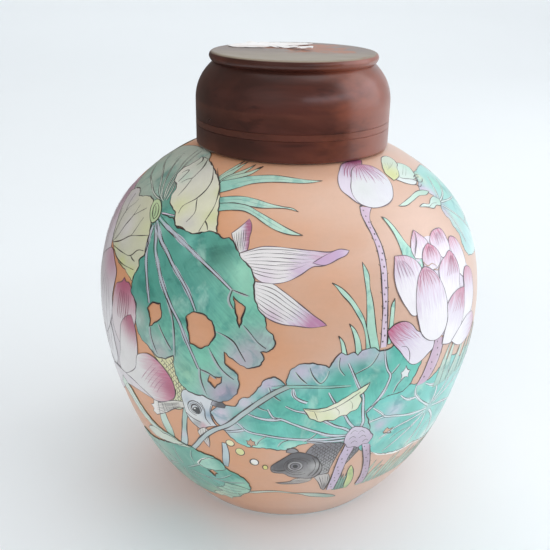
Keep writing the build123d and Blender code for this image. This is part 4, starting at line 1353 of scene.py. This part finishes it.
def goldfish(side):
    """Pale fish at the left that looks out below the leaf: head, eye, scaled shoulder and fins."""
    p = Piece("goldfish", 0.1, side, pale_enamel)
    body = [(-38.5, 119), (-36, 117), (-33, 117.6), (-30.3, 120.5), (-29.8, 113), (-28.5, 107),
            (-27, 104.5), (-26.6, 100), (-28, 95), (-29.5, 91), (-32.4, 89.4), (-32.6, 93), (-31.2, 97),
            (-30.6, 101), (-31.5, 105), (-33, 109), (-35.8, 114)]
    p.area(body, "dcd8a9", "c9cfae", ((-36, 116), (-29, 92)), (0.3, 1.2), ink=0.45)
    scales(p, body, 2.5, width=0.32)
    p.area(
        [(-28.6, 96), (-28.4, 92.4), (-30, 91.6), (-33, 88.3), (-36, 84.2), (-38.4, 81.6), (-40.8, 79),
         (-42.2, 80.4), (-41.4, 82.6), (-42.4, 84.6), (-40.8, 86.4), (-40.4, 88.6), (-37.8, 90.4),
         (-34.5, 92.6), (-31.5, 94.8)], "d9d5cc", "efeae4", ((-29, 94), (-42, 83)), (0.3, 1.0), ink=0.4)
    rays(p, [(-30, 94.6), (-34, 91.4), (-39.6, 88)], [(-29.6, 92.4), (-34, 87.6), (-40, 80.6)], 7, 0.22)
    for share in (0.3, 0.55):
        p.line(
            [between((-29.5, 94.8), (-40.4, 88), share), between((-29, 93.4), (-41, 84), share),
             between((-29, 92.4), (-40, 80), share)], 0.22)
    p.area(
        [(-28.7, 101), (-28, 103), (-26.5, 104), (-24.5, 103), (-22.5, 103.3), (-20.5, 102), (-18.7, 101.5),
         (-19.5, 98), (-20, 95), (-19.8, 90), (-18.8, 86.5), (-22, 84), (-23.5, 81), (-25, 82.5),
         (-26.8, 85), (-28, 89), (-28.5, 95)], "d6d9dc", "dedfdd", ((-20, 100), (-27, 86)), (0.2, 1.2),
        ink=0.45,
        spots=[(-20.6, 92.5, 3.0, "86a3b8", 0.95), (-27, 98, 3, "aebbc4", 0.7),
               (-25, 84.5, 2.2, "727a7c", 0.9), (-22.9, 84, 1.8, "cf7f92", 0.95),
               (-25.5, 88.5, 2.2, "e0dedb", 0.8)])
    p.area(
        [(-24.5, 81.5), (-23, 83.5), (-21.8, 82.5), (-22, 78), (-22, 74), (-22.5, 70), (-23.3, 72),
         (-24.3, 75.5), (-25.3, 79)], "dcd7d1", "d5bfbd", ((-24, 79), (-22, 71)), ink=0.36)
    rays(p, [(-25, 82.5), (-25.3, 79.5), (-24.2, 75.5)], [(-22.6, 83), (-22.6, 79), (-22.4, 72)], 4, 0.24)
    for reach in (1.0, 0.74, 0.52):
        ring = oval((-24.7, 94.3), 2.4 * reach, 4.3 * reach, 16)
        p.line(ring[:13 if reach > 0.9 else 16], 0.4 if reach > 0.6 else 0.6, closed=reach < 0.9)
    p.area(oval((-24.4, 93.4), 1.15, 2.0, 10), "2a2a2e", ink=0)
    p.area(oval((-24.9, 94.2), 0.3, 0.5, 6), WHITE, ink=0)
    p.line([(-22.9, 99), (-21.9, 95), (-21.9, 90), (-20.6, 86.4)], 0.35)
    p.line([(-19.9, 98.3), (-20.3, 94), (-20, 90), (-19, 87)], 0.35)
    p.line([(-28, 90), (-26.5, 88), (-25, 87), (-23.6, 86.4)], 0.35)
    p.area([(-19.8, 99), (-19, 101.6), (-17, 102), (-15.6, 100.2), (-15.9, 98.6), (-17.6, 98.4)], "55565c",
        "a8a8b0", ((-16, 99), (-19.5, 101)), ink=0.35)
    p.finish()

    p = Piece("goldfish_fins", 0.09, side, pale_enamel)
    p.area(
        [(-28.7, 93), (-30, 85), (-31, 78), (-32.5, 70), (-33.5, 65), (-31, 65), (-30, 70), (-29.3, 78),
         (-28.5, 84), (-27.9, 92)], "a9c6bd", "c2d5d4", ((-28.3, 92), (-32, 66)), ink=0.5,
        spots=[(-31, 74, 3, PALE_LILAC, 0.6)])
    p.area(
        [(-38.5, 89), (-36.8, 89.5), (-36.2, 80), (-35.3, 72), (-35.8, 65), (-37, 65), (-38.6, 70),
         (-39.4, 76), (-39, 82)], "c7ddcf", "9cc4b3", ((-37.5, 89), (-37, 66)), ink=0.4)
    p.area(
        [(-18, 76), (-18.3, 70), (-18.8, 64), (-19, 58.5), (-17.5, 58), (-16.6, 64), (-16.3, 70),
         (-16.7, 76)], "bfcfd3", "9fb4ba", ((-17.4, 76), (-18.2, 58)), ink=0.4)
    p.finish()


def carp(side):
    """Dark carp at the bottom, half hidden by the stalks, with air bubbles before its mouth."""
    p = Piece("carp", 0.1, side, pale_enamel)
    p.area(
        [(9.5, 54), (11, 50), (12, 46), (13, 42), (14, 40.5), (14.5, 45), (14.8, 52), (14, 56), (11, 56)],
        "c2bcb8", "8a8686", ((12, 56), (14, 42)), ink=0.45)
    rays(p, [(11, 55), (12, 50), (13.3, 43)], [(14, 55), (14.2, 50), (14.1, 44)], 4, 0.3)
    p.area(
        [(-2.5, 49.5), (0, 50.3), (2, 51.3), (3, 53), (9, 53.3), (8, 51), (6, 49.7), (2, 48.8), (-1, 48.7)],
        "b9b2ac", "8c8884", ((8, 52), (-2, 49)), ink=0.4)
    rays(p, [(7.5, 52.5), (3, 51.5), (-1, 49.6)], [(8, 51.3), (4, 49.8), (0, 49)], 3, 0.28)
    body = [(6, 73.5), (7, 77), (8.5, 79.8), (12, 80), (15.5, 79.2), (16.8, 78), (16, 74), (15, 68),
            (14.2, 62), (13.8, 57), (11, 56), (11.2, 61), (10, 68), (8.4, 71.5)]
    p.area(body, "77757a", "a9a8a8", ((8, 78), (13, 58)), (0.1, 1.0), ink=0.5)
    scales(p, body, 2.3)
    rest = [(18, 73), (19, 75), (21, 74.5), (22, 72), (21, 69), (20, 66), (18.5, 62), (17.3, 58.5),
            (16.8, 60), (17.2, 66)]
    p.area(rest, "77757a", "a9a8a8", ((19, 75), (18, 60)), (0.1, 1.0), ink=0.5)
    scales(p, rest, 2.3)
    p.area(
        [(-4, 61), (-3.8, 63.5), (-2.5, 66), (-1, 68.5), (0.5, 71), (2.5, 73.8), (4, 74.3), (6, 73.5),
         (8, 71.5), (10, 68), (11.2, 64), (11.5, 61), (10.8, 57), (9.8, 55), (8, 53.8), (5, 54.5),
         (1.5, 56), (0, 58), (-2, 58.3), (-3.5, 59)], "58565a", "8f8c8c", ((3, 72), (4, 55)), (0.1, 1.0),
        ink=0.55,
        spots=[(9.4, 64, 3.2, "c4c2c0", 0.85), (-1, 63, 4, "3d3b3f", 0.85), (6, 58, 3, "a3a09e", 0.7)])
    p.area([(0.5, 74.5), (0.8, 77), (3, 77), (4, 75), (2.4, 74)], "8b888a", ink=0.4)
    p.line(oval((4.2, 63.8), 4.3, 6.6, 16, 0.6)[:13], 0.3, 0.6)
    p.line(oval((3.9, 64), 3.3, 5.2, 16, 0.2)[:14], 0.34, 0.6)
    p.area(oval((3.3, 64.2), 2.3, 3.7, 14), "a19fa0", ink=0.4)
    p.area(oval((3.3, 64.2), 1.5, 2.5, 12), "77747a", ink=0.4)
    p.area(oval((3.3, 64.2), 0.8, 1.4, 10), "1d1c20", ink=0)
    p.line([(9.2, 71), (10.4, 66), (10.2, 60), (8.6, 55.5)], 0.5)
    p.line([(8, 70.5), (9.2, 66), (9, 60.5), (7.4, 56)], 0.35)
    p.line([(-3.6, 61), (-1.5, 60.2), (0.3, 60.8)], 0.45)
    p.finish()

    p = Piece("bubbles", 0.12, side, pale_enamel)
    for centre, across, high, tint in (
        ((-15.5, 76.7), 1.25, 2.1, CREAM), ((-12.8, 71.7), 1.35, 2.5, "dfe0a0"),
        ((-8.8, 65.5), 1.3, 2.3, WHITE), ((-5.6, 62.3), 0.8, 1.7, "dcd27a"),
    ):
        p.area(oval(centre, across, high, 12), tint, "cdd08c", (centre, (centre[0] - 1, centre[1] - 2)),
            ink=0.5)
    p.finish()


def pond_bottom(side):
    """Stalks, grass and the water line under the leaves."""
    p = Piece("pond_grass", 0.09, side)
    for i in range(6):
        foot = 17.6 + 0.9 * i
        p.next = 0.09 + FILL_STEP * (i % 3)
        blade(p, (foot + 0.6 * math.sin(3 * i), 56 - i % 3), [(foot - 0.5, 47), (foot - 0.6, 39)],
            [(foot + 0.4, 47), (foot + 0.6, 39)], "7fae9b", "5f937f", 0.24)
    for i in range(15):
        foot = 27 + 2.3 * i
        p.next = 0.09 + FILL_STEP * (i % 3)
        lean, top = 3.2 + 0.12 * i + 0.9 * math.sin(2.3 * i), 56 + 4 * math.sin(1.9 * i + 1)
        blade(p, (foot + lean, top), [(foot + lean * 0.3 - 0.5, 48), (foot - 0.9, 38.5)],
            [(foot + lean * 0.5 + 0.5, 48), (foot + 0.8, 38.5)], "bccbb4", "93b5a3", 0.26, GRASS_EDGE)
    p.area(
        [(20.9, 60.5), (20.3, 56), (20.8, 50), (20.8, 45), (21.4, 39), (22.6, 39), (23.4, 46), (22.8, 53),
         (21.8, 58)], YELLOW_GREEN, "b9c98c", ((20.7, 60), (22, 40)), ink=0.36)
    p.finish()

    p = Piece("pond_stalks", 0.3, side)
    stem(p, [(17.2, 78), (16.8, 74), (16, 68), (15.6, 62), (15.3, 55), (15, 48), (14.8, 40.5)],
        [(20.5, 78), (19.8, 72), (18.9, 66), (18.5, 60), (18.2, 53), (17.8, 47), (17.4, 40.5)], "c6b4cb",
        LILAC)
    stem(p, [(22.4, 76), (23.6, 69), (24.8, 62), (25.6, 55), (26, 48), (25.6, 40.5)],
        [(25.2, 74), (26.2, 68), (27.3, 61), (28.2, 54), (28.8, 47), (28.6, 40.5)], "cdbcd2", LILAC)
    p.finish()

    p = Piece("water_line", 0.12, side, pale_enamel)
    p.area(
        [(-15, 35.5), (-11, 38), (-7, 40.3), (-3, 41.3), (0, 41), (3, 39.8), (8, 39), (12, 37.5), (16, 35),
         (19, 32), (20, 30), (17, 30.5), (13, 32.8), (9, 35), (6, 37.8), (2, 39.2), (-2, 40), (-6, 38.8),
         (-11, 36)], "c8d3c4", "8fae9f", ((-15, 35), (20, 31)), ink=0.4)
    p.finish()


def lower_left_leaf(side):
    """Dark teal leaf at the lower left, with a folded pale rim."""
    p = Piece("lower_left_leaf", 0.44, side)
    p.area(
        [(-18.3, 56), (-16, 54), (-14, 52), (-12.3, 49), (-11.5, 45), (-11.3, 41), (-14, 36), (-16, 30),
         (-19.5, 26), (-25, 24), (-31, 21), (-38, 20.5), (-46, 22), (-52, 30), (-56, 38), (-60, 48),
         (-57, 55), (-52, 54), (-47, 56), (-43, 58.5), (-35, 63.5), (-32, 65.5), (-29, 66), (-27, 64.5),
         (-22, 63.5), (-20, 62), (-19, 58.5)], "5fae9a", "8fbfae", ((-20, 52), (-52, 34)), (0.1, 1.3),
        ragged=0.35,
        spots=[(-23.5, 59, 4, PALE_MINT, 0.8), (-14, 44, 4, "a9d9bf", 0.9), (-36, 42, 9, "4f9f90", 0.7),
               (-45, 50, 7, "94b8a6", 0.8), (-26, 28, 6, "a3c9a6", 0.8), (-30, 60, 5, "79b8a5", 0.6),
               (-16, 34, 4, "b3d3b0", 0.8), (-24, 44, 5, "6fb8b4", 0.6), (-40, 30, 6, "8fb39c", 0.8),
               (-33, 52, 6, "58a592", 0.8)],
        holes=[[(-25.8, 50), (-24.6, 50.8), (-23.6, 53), (-23, 50.6), (-21.8, 49.6), (-23, 48.4),
                (-23.4, 46), (-24.6, 48)]])
    ribs(p, [
        [(-35, 45), (-30, 51), (-26, 56), (-22, 60)], [(-34, 43), (-28, 43), (-18, 44), (-13, 46.5)],
        [(-36, 42), (-30, 36), (-22, 31), (-17, 29)], [(-38, 42), (-38, 34), (-36, 26)],
        [(-40, 43), (-46, 38), (-50, 32)], [(-40, 45), (-47, 48), (-54, 50)],
        [(-37, 46), (-38, 53), (-38, 60)],
    ], 1.3, "a8c6bd", 0.28)
    creases(p, [
        [(-24, 43.5), (-20, 47.5), (-17, 52)], [(-26, 33), (-23, 29), (-22, 25.5)],
        [(-30, 51), (-31, 57), (-30, 63)], [(-46, 38), (-49, 42), (-53, 43)],
        [(-28, 43), (-24, 38), (-15, 35)],
    ], 0.7, "a4c6ba", 0.32)
    p.area(
        [(-28.5, 53.4), (-27.2, 57), (-25, 60.3), (-22.5, 62.3), (-20.2, 61.8), (-18.8, 58.6),
         (-18.6, 55.4), (-21, 53.2), (-24, 52), (-27, 51.8)], "a9d6c2", "6fb9a4", ((-28, 54), (-18.6, 57)),
        (0.3, 1.1), ink=0.38, ragged=0.15)
    p.line([(-22.4, 62.2), (-25.2, 60.2), (-27.6, 57), (-28.8, 53.6), (-27.2, 51.9)], 0.8, 0.4,
        colour=WHITE)
    p.area(
        [(-20.5, 42.4), (-17, 42.2), (-13.8, 41.6), (-11.4, 39.4), (-14.4, 34), (-16.6, 33), (-16.8, 29),
         (-19.4, 27), (-21, 22.4), (-23.5, 24.6), (-26.4, 22.6), (-29, 24.4), (-26.4, 28.4), (-23, 31),
         (-25, 34.4), (-22, 37)], "a3cfb8", "c9dcc4", ((-14, 41), (-25, 24)), (0.2, 1.2), ink=0.36,
        ragged=0.2)
    p.lines([
        [(-13, 40), (-17, 38.6), (-21.6, 39.4)], [(-15, 36), (-18.5, 35), (-22.4, 35.6)],
        [(-17.5, 32), (-20.5, 31.4), (-23.6, 32.6)], [(-19.8, 28), (-22.6, 27.2), (-25.6, 28)],
    ], 0.32, 0.5)
    p.finish()


def side_leaf(side):
    """Small lotus leaf low on the wall between grass blades, where front and back meet."""
    p = Piece("side_grass", 0.09, side)
    for tip, foot in (
        ((-15, 92), -11), ((-9, 109), -6.5), ((-4.5, 122), -4), ((8, 114), 5), ((13.5, 94), 9.5),
    ):
        middle = between(tip, (foot, 42), 0.5)
        blade(p, tip, [middle - (0.9, 0), (foot - 1.1, 42)], [middle + (0.9, 0), (foot + 1.1, 42)],
            "bcdccb", "85bfae", 0.36)
    p.finish()

    p = Piece("side_leaf", 0.13, side)
    p.area(
        [(-17, 60), (-16, 66), (-13, 71), (-9, 73), (-6, 76), (-1, 75), (3, 77), (8, 74), (12, 72),
         (15, 67), (17.5, 61), (16, 54), (12, 50), (8, 46), (2, 47), (-3, 44.5), (-8, 47), (-12, 50),
         (-15.5, 54)], "6fbfb0", "a9d6c6", ((-4, 70), (6, 46)), (0.1, 1.3), ragged=0.4, ink=0.38,
        spots=[(-14, 62, 5, PALE_LILAC, 0.9), (13, 68, 5, "c6b9cd", 0.9), (1, 75, 4, PALE_MINT, 0.8),
               (6, 52, 6, "4fa896", 0.7), (-8, 54, 5, "56ad9b", 0.7)])
    for end in (
        (-15, 57), (-13.5, 66), (-6, 73), (3, 74), (11, 70), (15, 62), (12, 52), (4, 48), (-6, 47.5),
    ):
        double_rib(p, [between((0, 60), end, 0.12), between((0, 61), end, 0.55), end], 1.3, "d2e0dc", 0.28)
    p.area(oval((0, 60), 1.3, 2.0, 10), "c9d9a6", ink=0.36, material=pale_enamel)
    p.finish()


def side_bud(side):
    """Lotus bud on a tall prickly stalk at the right side."""
    p = Piece("side_stalk", 0.2, side)
    stem(p, [(-0.4, 116), (0.6, 106), (0.9, 95), (0.2, 83), (-0.6, 73)],
        [(1.6, 116), (2.6, 106), (2.9, 95), (2.2, 83), (1.4, 73)], "cfb4cb", "dac6d8")
    p.finish()

    p = Piece("side_bud", 0.24, side)
    petals(p, [
        ([(-0.6, 114), (-4, 117), (-6, 123), (-6, 131), (-3.6, 138), (-0.5, 142.5), (1, 136), (1, 124)],
         (-1, 114), (-1, 142), 0.4),
        ([(1.6, 114), (5, 117), (7.2, 123), (7.4, 130), (5.4, 137), (2.6, 141.6), (0.6, 136), (0.6, 122)],
         (2, 114), (2.6, 141), 0.4),
        ([(0.6, 113), (-2.4, 117), (-3.4, 124), (-2.6, 132), (-0.4, 139), (1.2, 145), (3.2, 138),
          (4.6, 130), (4.8, 122), (3.4, 116)], (0.6, 114), (1, 144), 0.45, "ebe6ec"),
    ])
    rays(p, [(-1.6, 133), (-0.4, 137), (0.9, 142)], [(3.6, 132), (2.8, 137), (1.5, 142)], 5, 0.24, "bf7391")
    p.finish()


MOTIFS = (upper_leaf, shoulder_grass, goldfish_tail, left_lotus, right_lotus, bud, insect, upper_right_leaf,
          middle_grass, lower_leaf, right_leaf, goldfish, carp, pond_bottom, lower_left_leaf)
NOT_ON_THE_BACK = (goldfish_tail, goldfish, insect)
SIDE_MOTIFS = ((side_leaf, RIGHT), (side_bud, RIGHT), (side_leaf, LEFT))


# ---- Lid and paper ------------------------------------------------------------------------
PAPER_THICKNESS = 0.22
PAPER_EDGE_STEP, PAPER_GRID = 0.5, 0.9       # spacing of the points along its outline and inside
TEAR = 0.25                                  # the torn edge strays this far


def paper_sheet(outline, rise):
    """Points and faces of a thin torn sheet: its outline in millimetres from the lid's axis,
    and its height above the lid as a function of the place."""
    loop = smooth_run(np.array([*outline, outline[0]]), PAPER_EDGE_STEP)[:-1]
    loop = loop + np.array([[random.uniform(-TEAR, TEAR), random.uniform(-TEAR, TEAR)] for _ in loop])
    flat, triangles, rim = filled([loop], PAPER_GRID)
    height = rise(flat[:, 0], flat[:, 1])
    top, under = np.column_stack([flat, height + PAPER_THICKNESS]), np.column_stack([flat, height])
    points = np.vstack([top, under])
    count = len(flat)
    faces = triangles + [[i + count for i in t[::-1]] for t in triangles]
    return points, faces + [[b, a, a + count, b + count] for a, b in rim]


def torn_paper():
    """What is left of a paper label: a torn sheet with creases, and a folded strip at its right."""
    def lying(x, y):
        creases = 0.1 * (1 + np.sin(x * 0.9 + y * 0.5)) + 0.08 * (1 + np.sin(x * 0.35 - y * 1.1))
        hook = 0.7 * np.exp(-((x + 23) ** 2 + (y - 30) ** 2) / 5)
        return 0.06 + 0.6 * creases + hook + 0.5 * np.clip((x - 4) / 5, 0, 1)

    def folded(x, y):
        return 0.4 + 0.3 * np.sin(y * 1.4 + x * 0.3) + 1.0 * np.clip((x + 2) / 10, 0, 1)

    sheet = paper_sheet(
        [(-33.5, 16), (-31.5, 10.5), (-27, 8), (-20, 8.6), (-15, 9.4), (-12, 12.6), (-8.5, 9.6), (-6.5, 12),
         (-6, 17.5), (0, 19.5), (5, 22.5), (9.5, 24.5), (7, 27.5), (5.5, 32), (0, 33.5), (-6, 34),
         (-12, 33), (-17, 33.6), (-19.5, 30.5), (-23.5, 31), (-26.5, 26.5), (-31, 22)], lying)
    strip = paper_sheet(
        [(-9, 11.5), (-5, 9), (0, 5.6), (5, 2), (8.4, 0.4), (9.4, 3.4), (5.5, 6.4), (1, 9.4),
         (-4, 12.6), (-8, 14.4)], folded)
    first = len(sheet[0])
    faces = sheet[1] + [[i + first for i in face] for face in strip[1]]
    points = (np.vstack([sheet[0], strip[0]]) * MM).tolist()
    paper = new_object("torn_paper", new_mesh("torn_paper", points, faces, [paper_material()]))
    paper.location = (0, 0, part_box("paper_label")[0].z)
    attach(paper, "lid")
    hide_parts("paper_label")


def dress_cad_nodes():
    """Materials for the two CAD nodes that stay as they are."""
    for node, material in (("jar_body", porcelain_material()), ("wooden_lid", wood_material())):
        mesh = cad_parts[node].data
        mesh.materials.clear()
        mesh.materials.append(material)


# ---- Studio -------------------------------------------------------------------------------
CAMERA_PLACE = (0.0, -0.3953, 0.2767)
CAMERA_DOWN, CAMERA_LEFT, CAMERA_ROLL = 22.35, 1.08, 0.96      # degrees
LENS, SENSOR, NEAR = 51.05, 36.0, 0.01      # millimetres, and metres


def camera():
    """The camera at its place, turned a little left, tipped down and rolled."""
    pitch, yaw, roll = (math.radians(a) for a in (CAMERA_DOWN, -CAMERA_LEFT, CAMERA_ROLL))
    ahead = Vector((math.sin(yaw) * math.cos(pitch), math.cos(yaw) * math.cos(pitch), -math.sin(pitch)))
    right = ahead.cross(Vector((0, 0, 1))).normalized()
    up = right.cross(ahead)
    right, up = right * math.cos(roll) + up * math.sin(roll), up * math.cos(roll) - right * math.sin(roll)
    data = bpy.data.cameras.new("camera")
    data.lens, data.sensor_width = LENS, SENSOR
    data.clip_start = NEAR
    made = new_object("camera", data)
    made.matrix_world = Matrix((
        (right.x, up.x, -ahead.x, CAMERA_PLACE[0]),
        (right.y, up.y, -ahead.y, CAMERA_PLACE[1]),
        (right.z, up.z, -ahead.z, CAMERA_PLACE[2]),
        (0, 0, 0, 1),
    ))
    bpy.context.scene.camera = made


def floor():
    """Pale matt sheet that curves up far behind the jar on every side."""
    rings = [(0.3, 0.0), (0.9, 0.0), (1.8, 0.0), (2.4, 0.1), (2.9, 0.45), (3.1, 1.0), (3.1, 2.4)]
    turns = 48
    angles = [2 * math.pi * i / turns for i in range(turns)]
    points, faces = [(0, 0, 0)], []
    for radius, height in rings:
        points += [(radius * math.cos(angle), radius * math.sin(angle), height) for angle in angles]
    for i in range(turns):
        faces.append([0, 1 + i, 1 + (i + 1) % turns])
    for row in range(len(rings) - 1):
        for i in range(turns):
            a, b = 1 + row * turns + i, 1 + row * turns + (i + 1) % turns
            faces.append([a, a + turns, b + turns, b])
    n = Nodes("floor_paper", 0.75, 0.25)
    paper = n.done(n.shade("eef2f5", 0.02, n.noise(n.object_place(), 3.0)))
    sheet = new_object("floor", new_mesh("floor", points, faces, [paper], smooth=True))


def lamp(name, place, target, size, power, colour):
    """A soft rectangular light at place that faces target."""
    data = bpy.data.lights.new(name, "AREA")
    data.shape = "RECTANGLE"
    data.size, data.size_y = size
    data.energy = power
    data.color = colour
    made = new_object(name, data)
    made.location = place
    made.rotation_euler = (Vector(target) - Vector(place)).to_track_quat("-Z", "Y").to_euler()


def gloss_screen(name, turns, arc, reach, heights, cloth, colour, glow, strength):
    """Upright curved screen round the jar, which only gloss sees. arc is its first and last angle."""
    first, last = (math.radians(angle) for angle in arc)
    points, faces = [], []
    for i in range(turns + 1):
        angle = first + (last - first) * i / turns
        points += [(reach * math.sin(angle), -reach * math.cos(angle), height) for height in heights]
    for i in range(turns):
        faces.append([2 * i, 2 * i + 1, 2 * i + 3, 2 * i + 2])
    n = Nodes(cloth, 0.9)
    n.shader.inputs["Emission Color"].default_value = glow
    n.shader.inputs["Emission Strength"].default_value = strength
    screen = new_object(name, new_mesh(name, points, faces, [n.done(colour)]))
    for kind in ("camera", "diffuse", "shadow", "transmission"):
        setattr(screen, f"visible_{kind}", False)


def screens():
    """A dark warm card round the front and left, so that glaze and wax shine at the right only, and
    before it a pale band for the soft streak on the lid's shoulder."""
    gloss_screen("dark_card", 40, (-160, 66), 0.35, (0.0, 0.9),
                 "card_cloth", "0a0808", (1.0, 0.8, 0.7, 1.0), 0.12)
    gloss_screen("bright_band", 30, (12, 120), 0.34, (0.33, 0.39),
                 "band_cloth", "d0d0d4", (0.82, 0.9, 1.0, 1.0), 2.2)


def studio():
    """Soft daylight: a window at the right, a ceiling, the far floor and a weak fill at the front."""
    world = bpy.data.worlds.new("studio")
    bpy.context.scene.world = world
    world.use_nodes = True
    background = world.node_tree.nodes["Background"]
    background.inputs["Color"].default_value = (0.95, 0.96, 0.965, 1.0)
    background.inputs["Strength"].default_value = 0.49
    centre = (0, 0, 0.12)
    lamp("window", (1.35, -0.1, 0.75), centre, (2.0, 1.5), 15, (0.93, 0.97, 1.0))
    lamp("ceiling", (0.2, 0.5, 2.2), centre, (2.2, 1.8), 16, (1.0, 0.98, 0.95))
    lamp("far_floor", (0, 2.3, 1.6), (0, 2.3, 0), (3.0, 1.2), 9, (1.0, 1.0, 1.0))
    lamp("front_fill", (-0.8, -1.8, 1.3), centre, (1.6, 1.2), 10.5, (1.0, 0.98, 0.96))
    bpy.context.scene.view_settings.view_transform = "Standard"


# ---- Build --------------------------------------------------------------------------------
dress_cad_nodes()
ground_wash()
for motif in MOTIFS:
    motif(FRONT)
for motif in MOTIFS:
    if motif not in NOT_ON_THE_BACK:
        motif(BACK)
for motif, side in SIDE_MOTIFS:
    motif(side)
torn_paper()
camera()
floor()
screens()
studio()
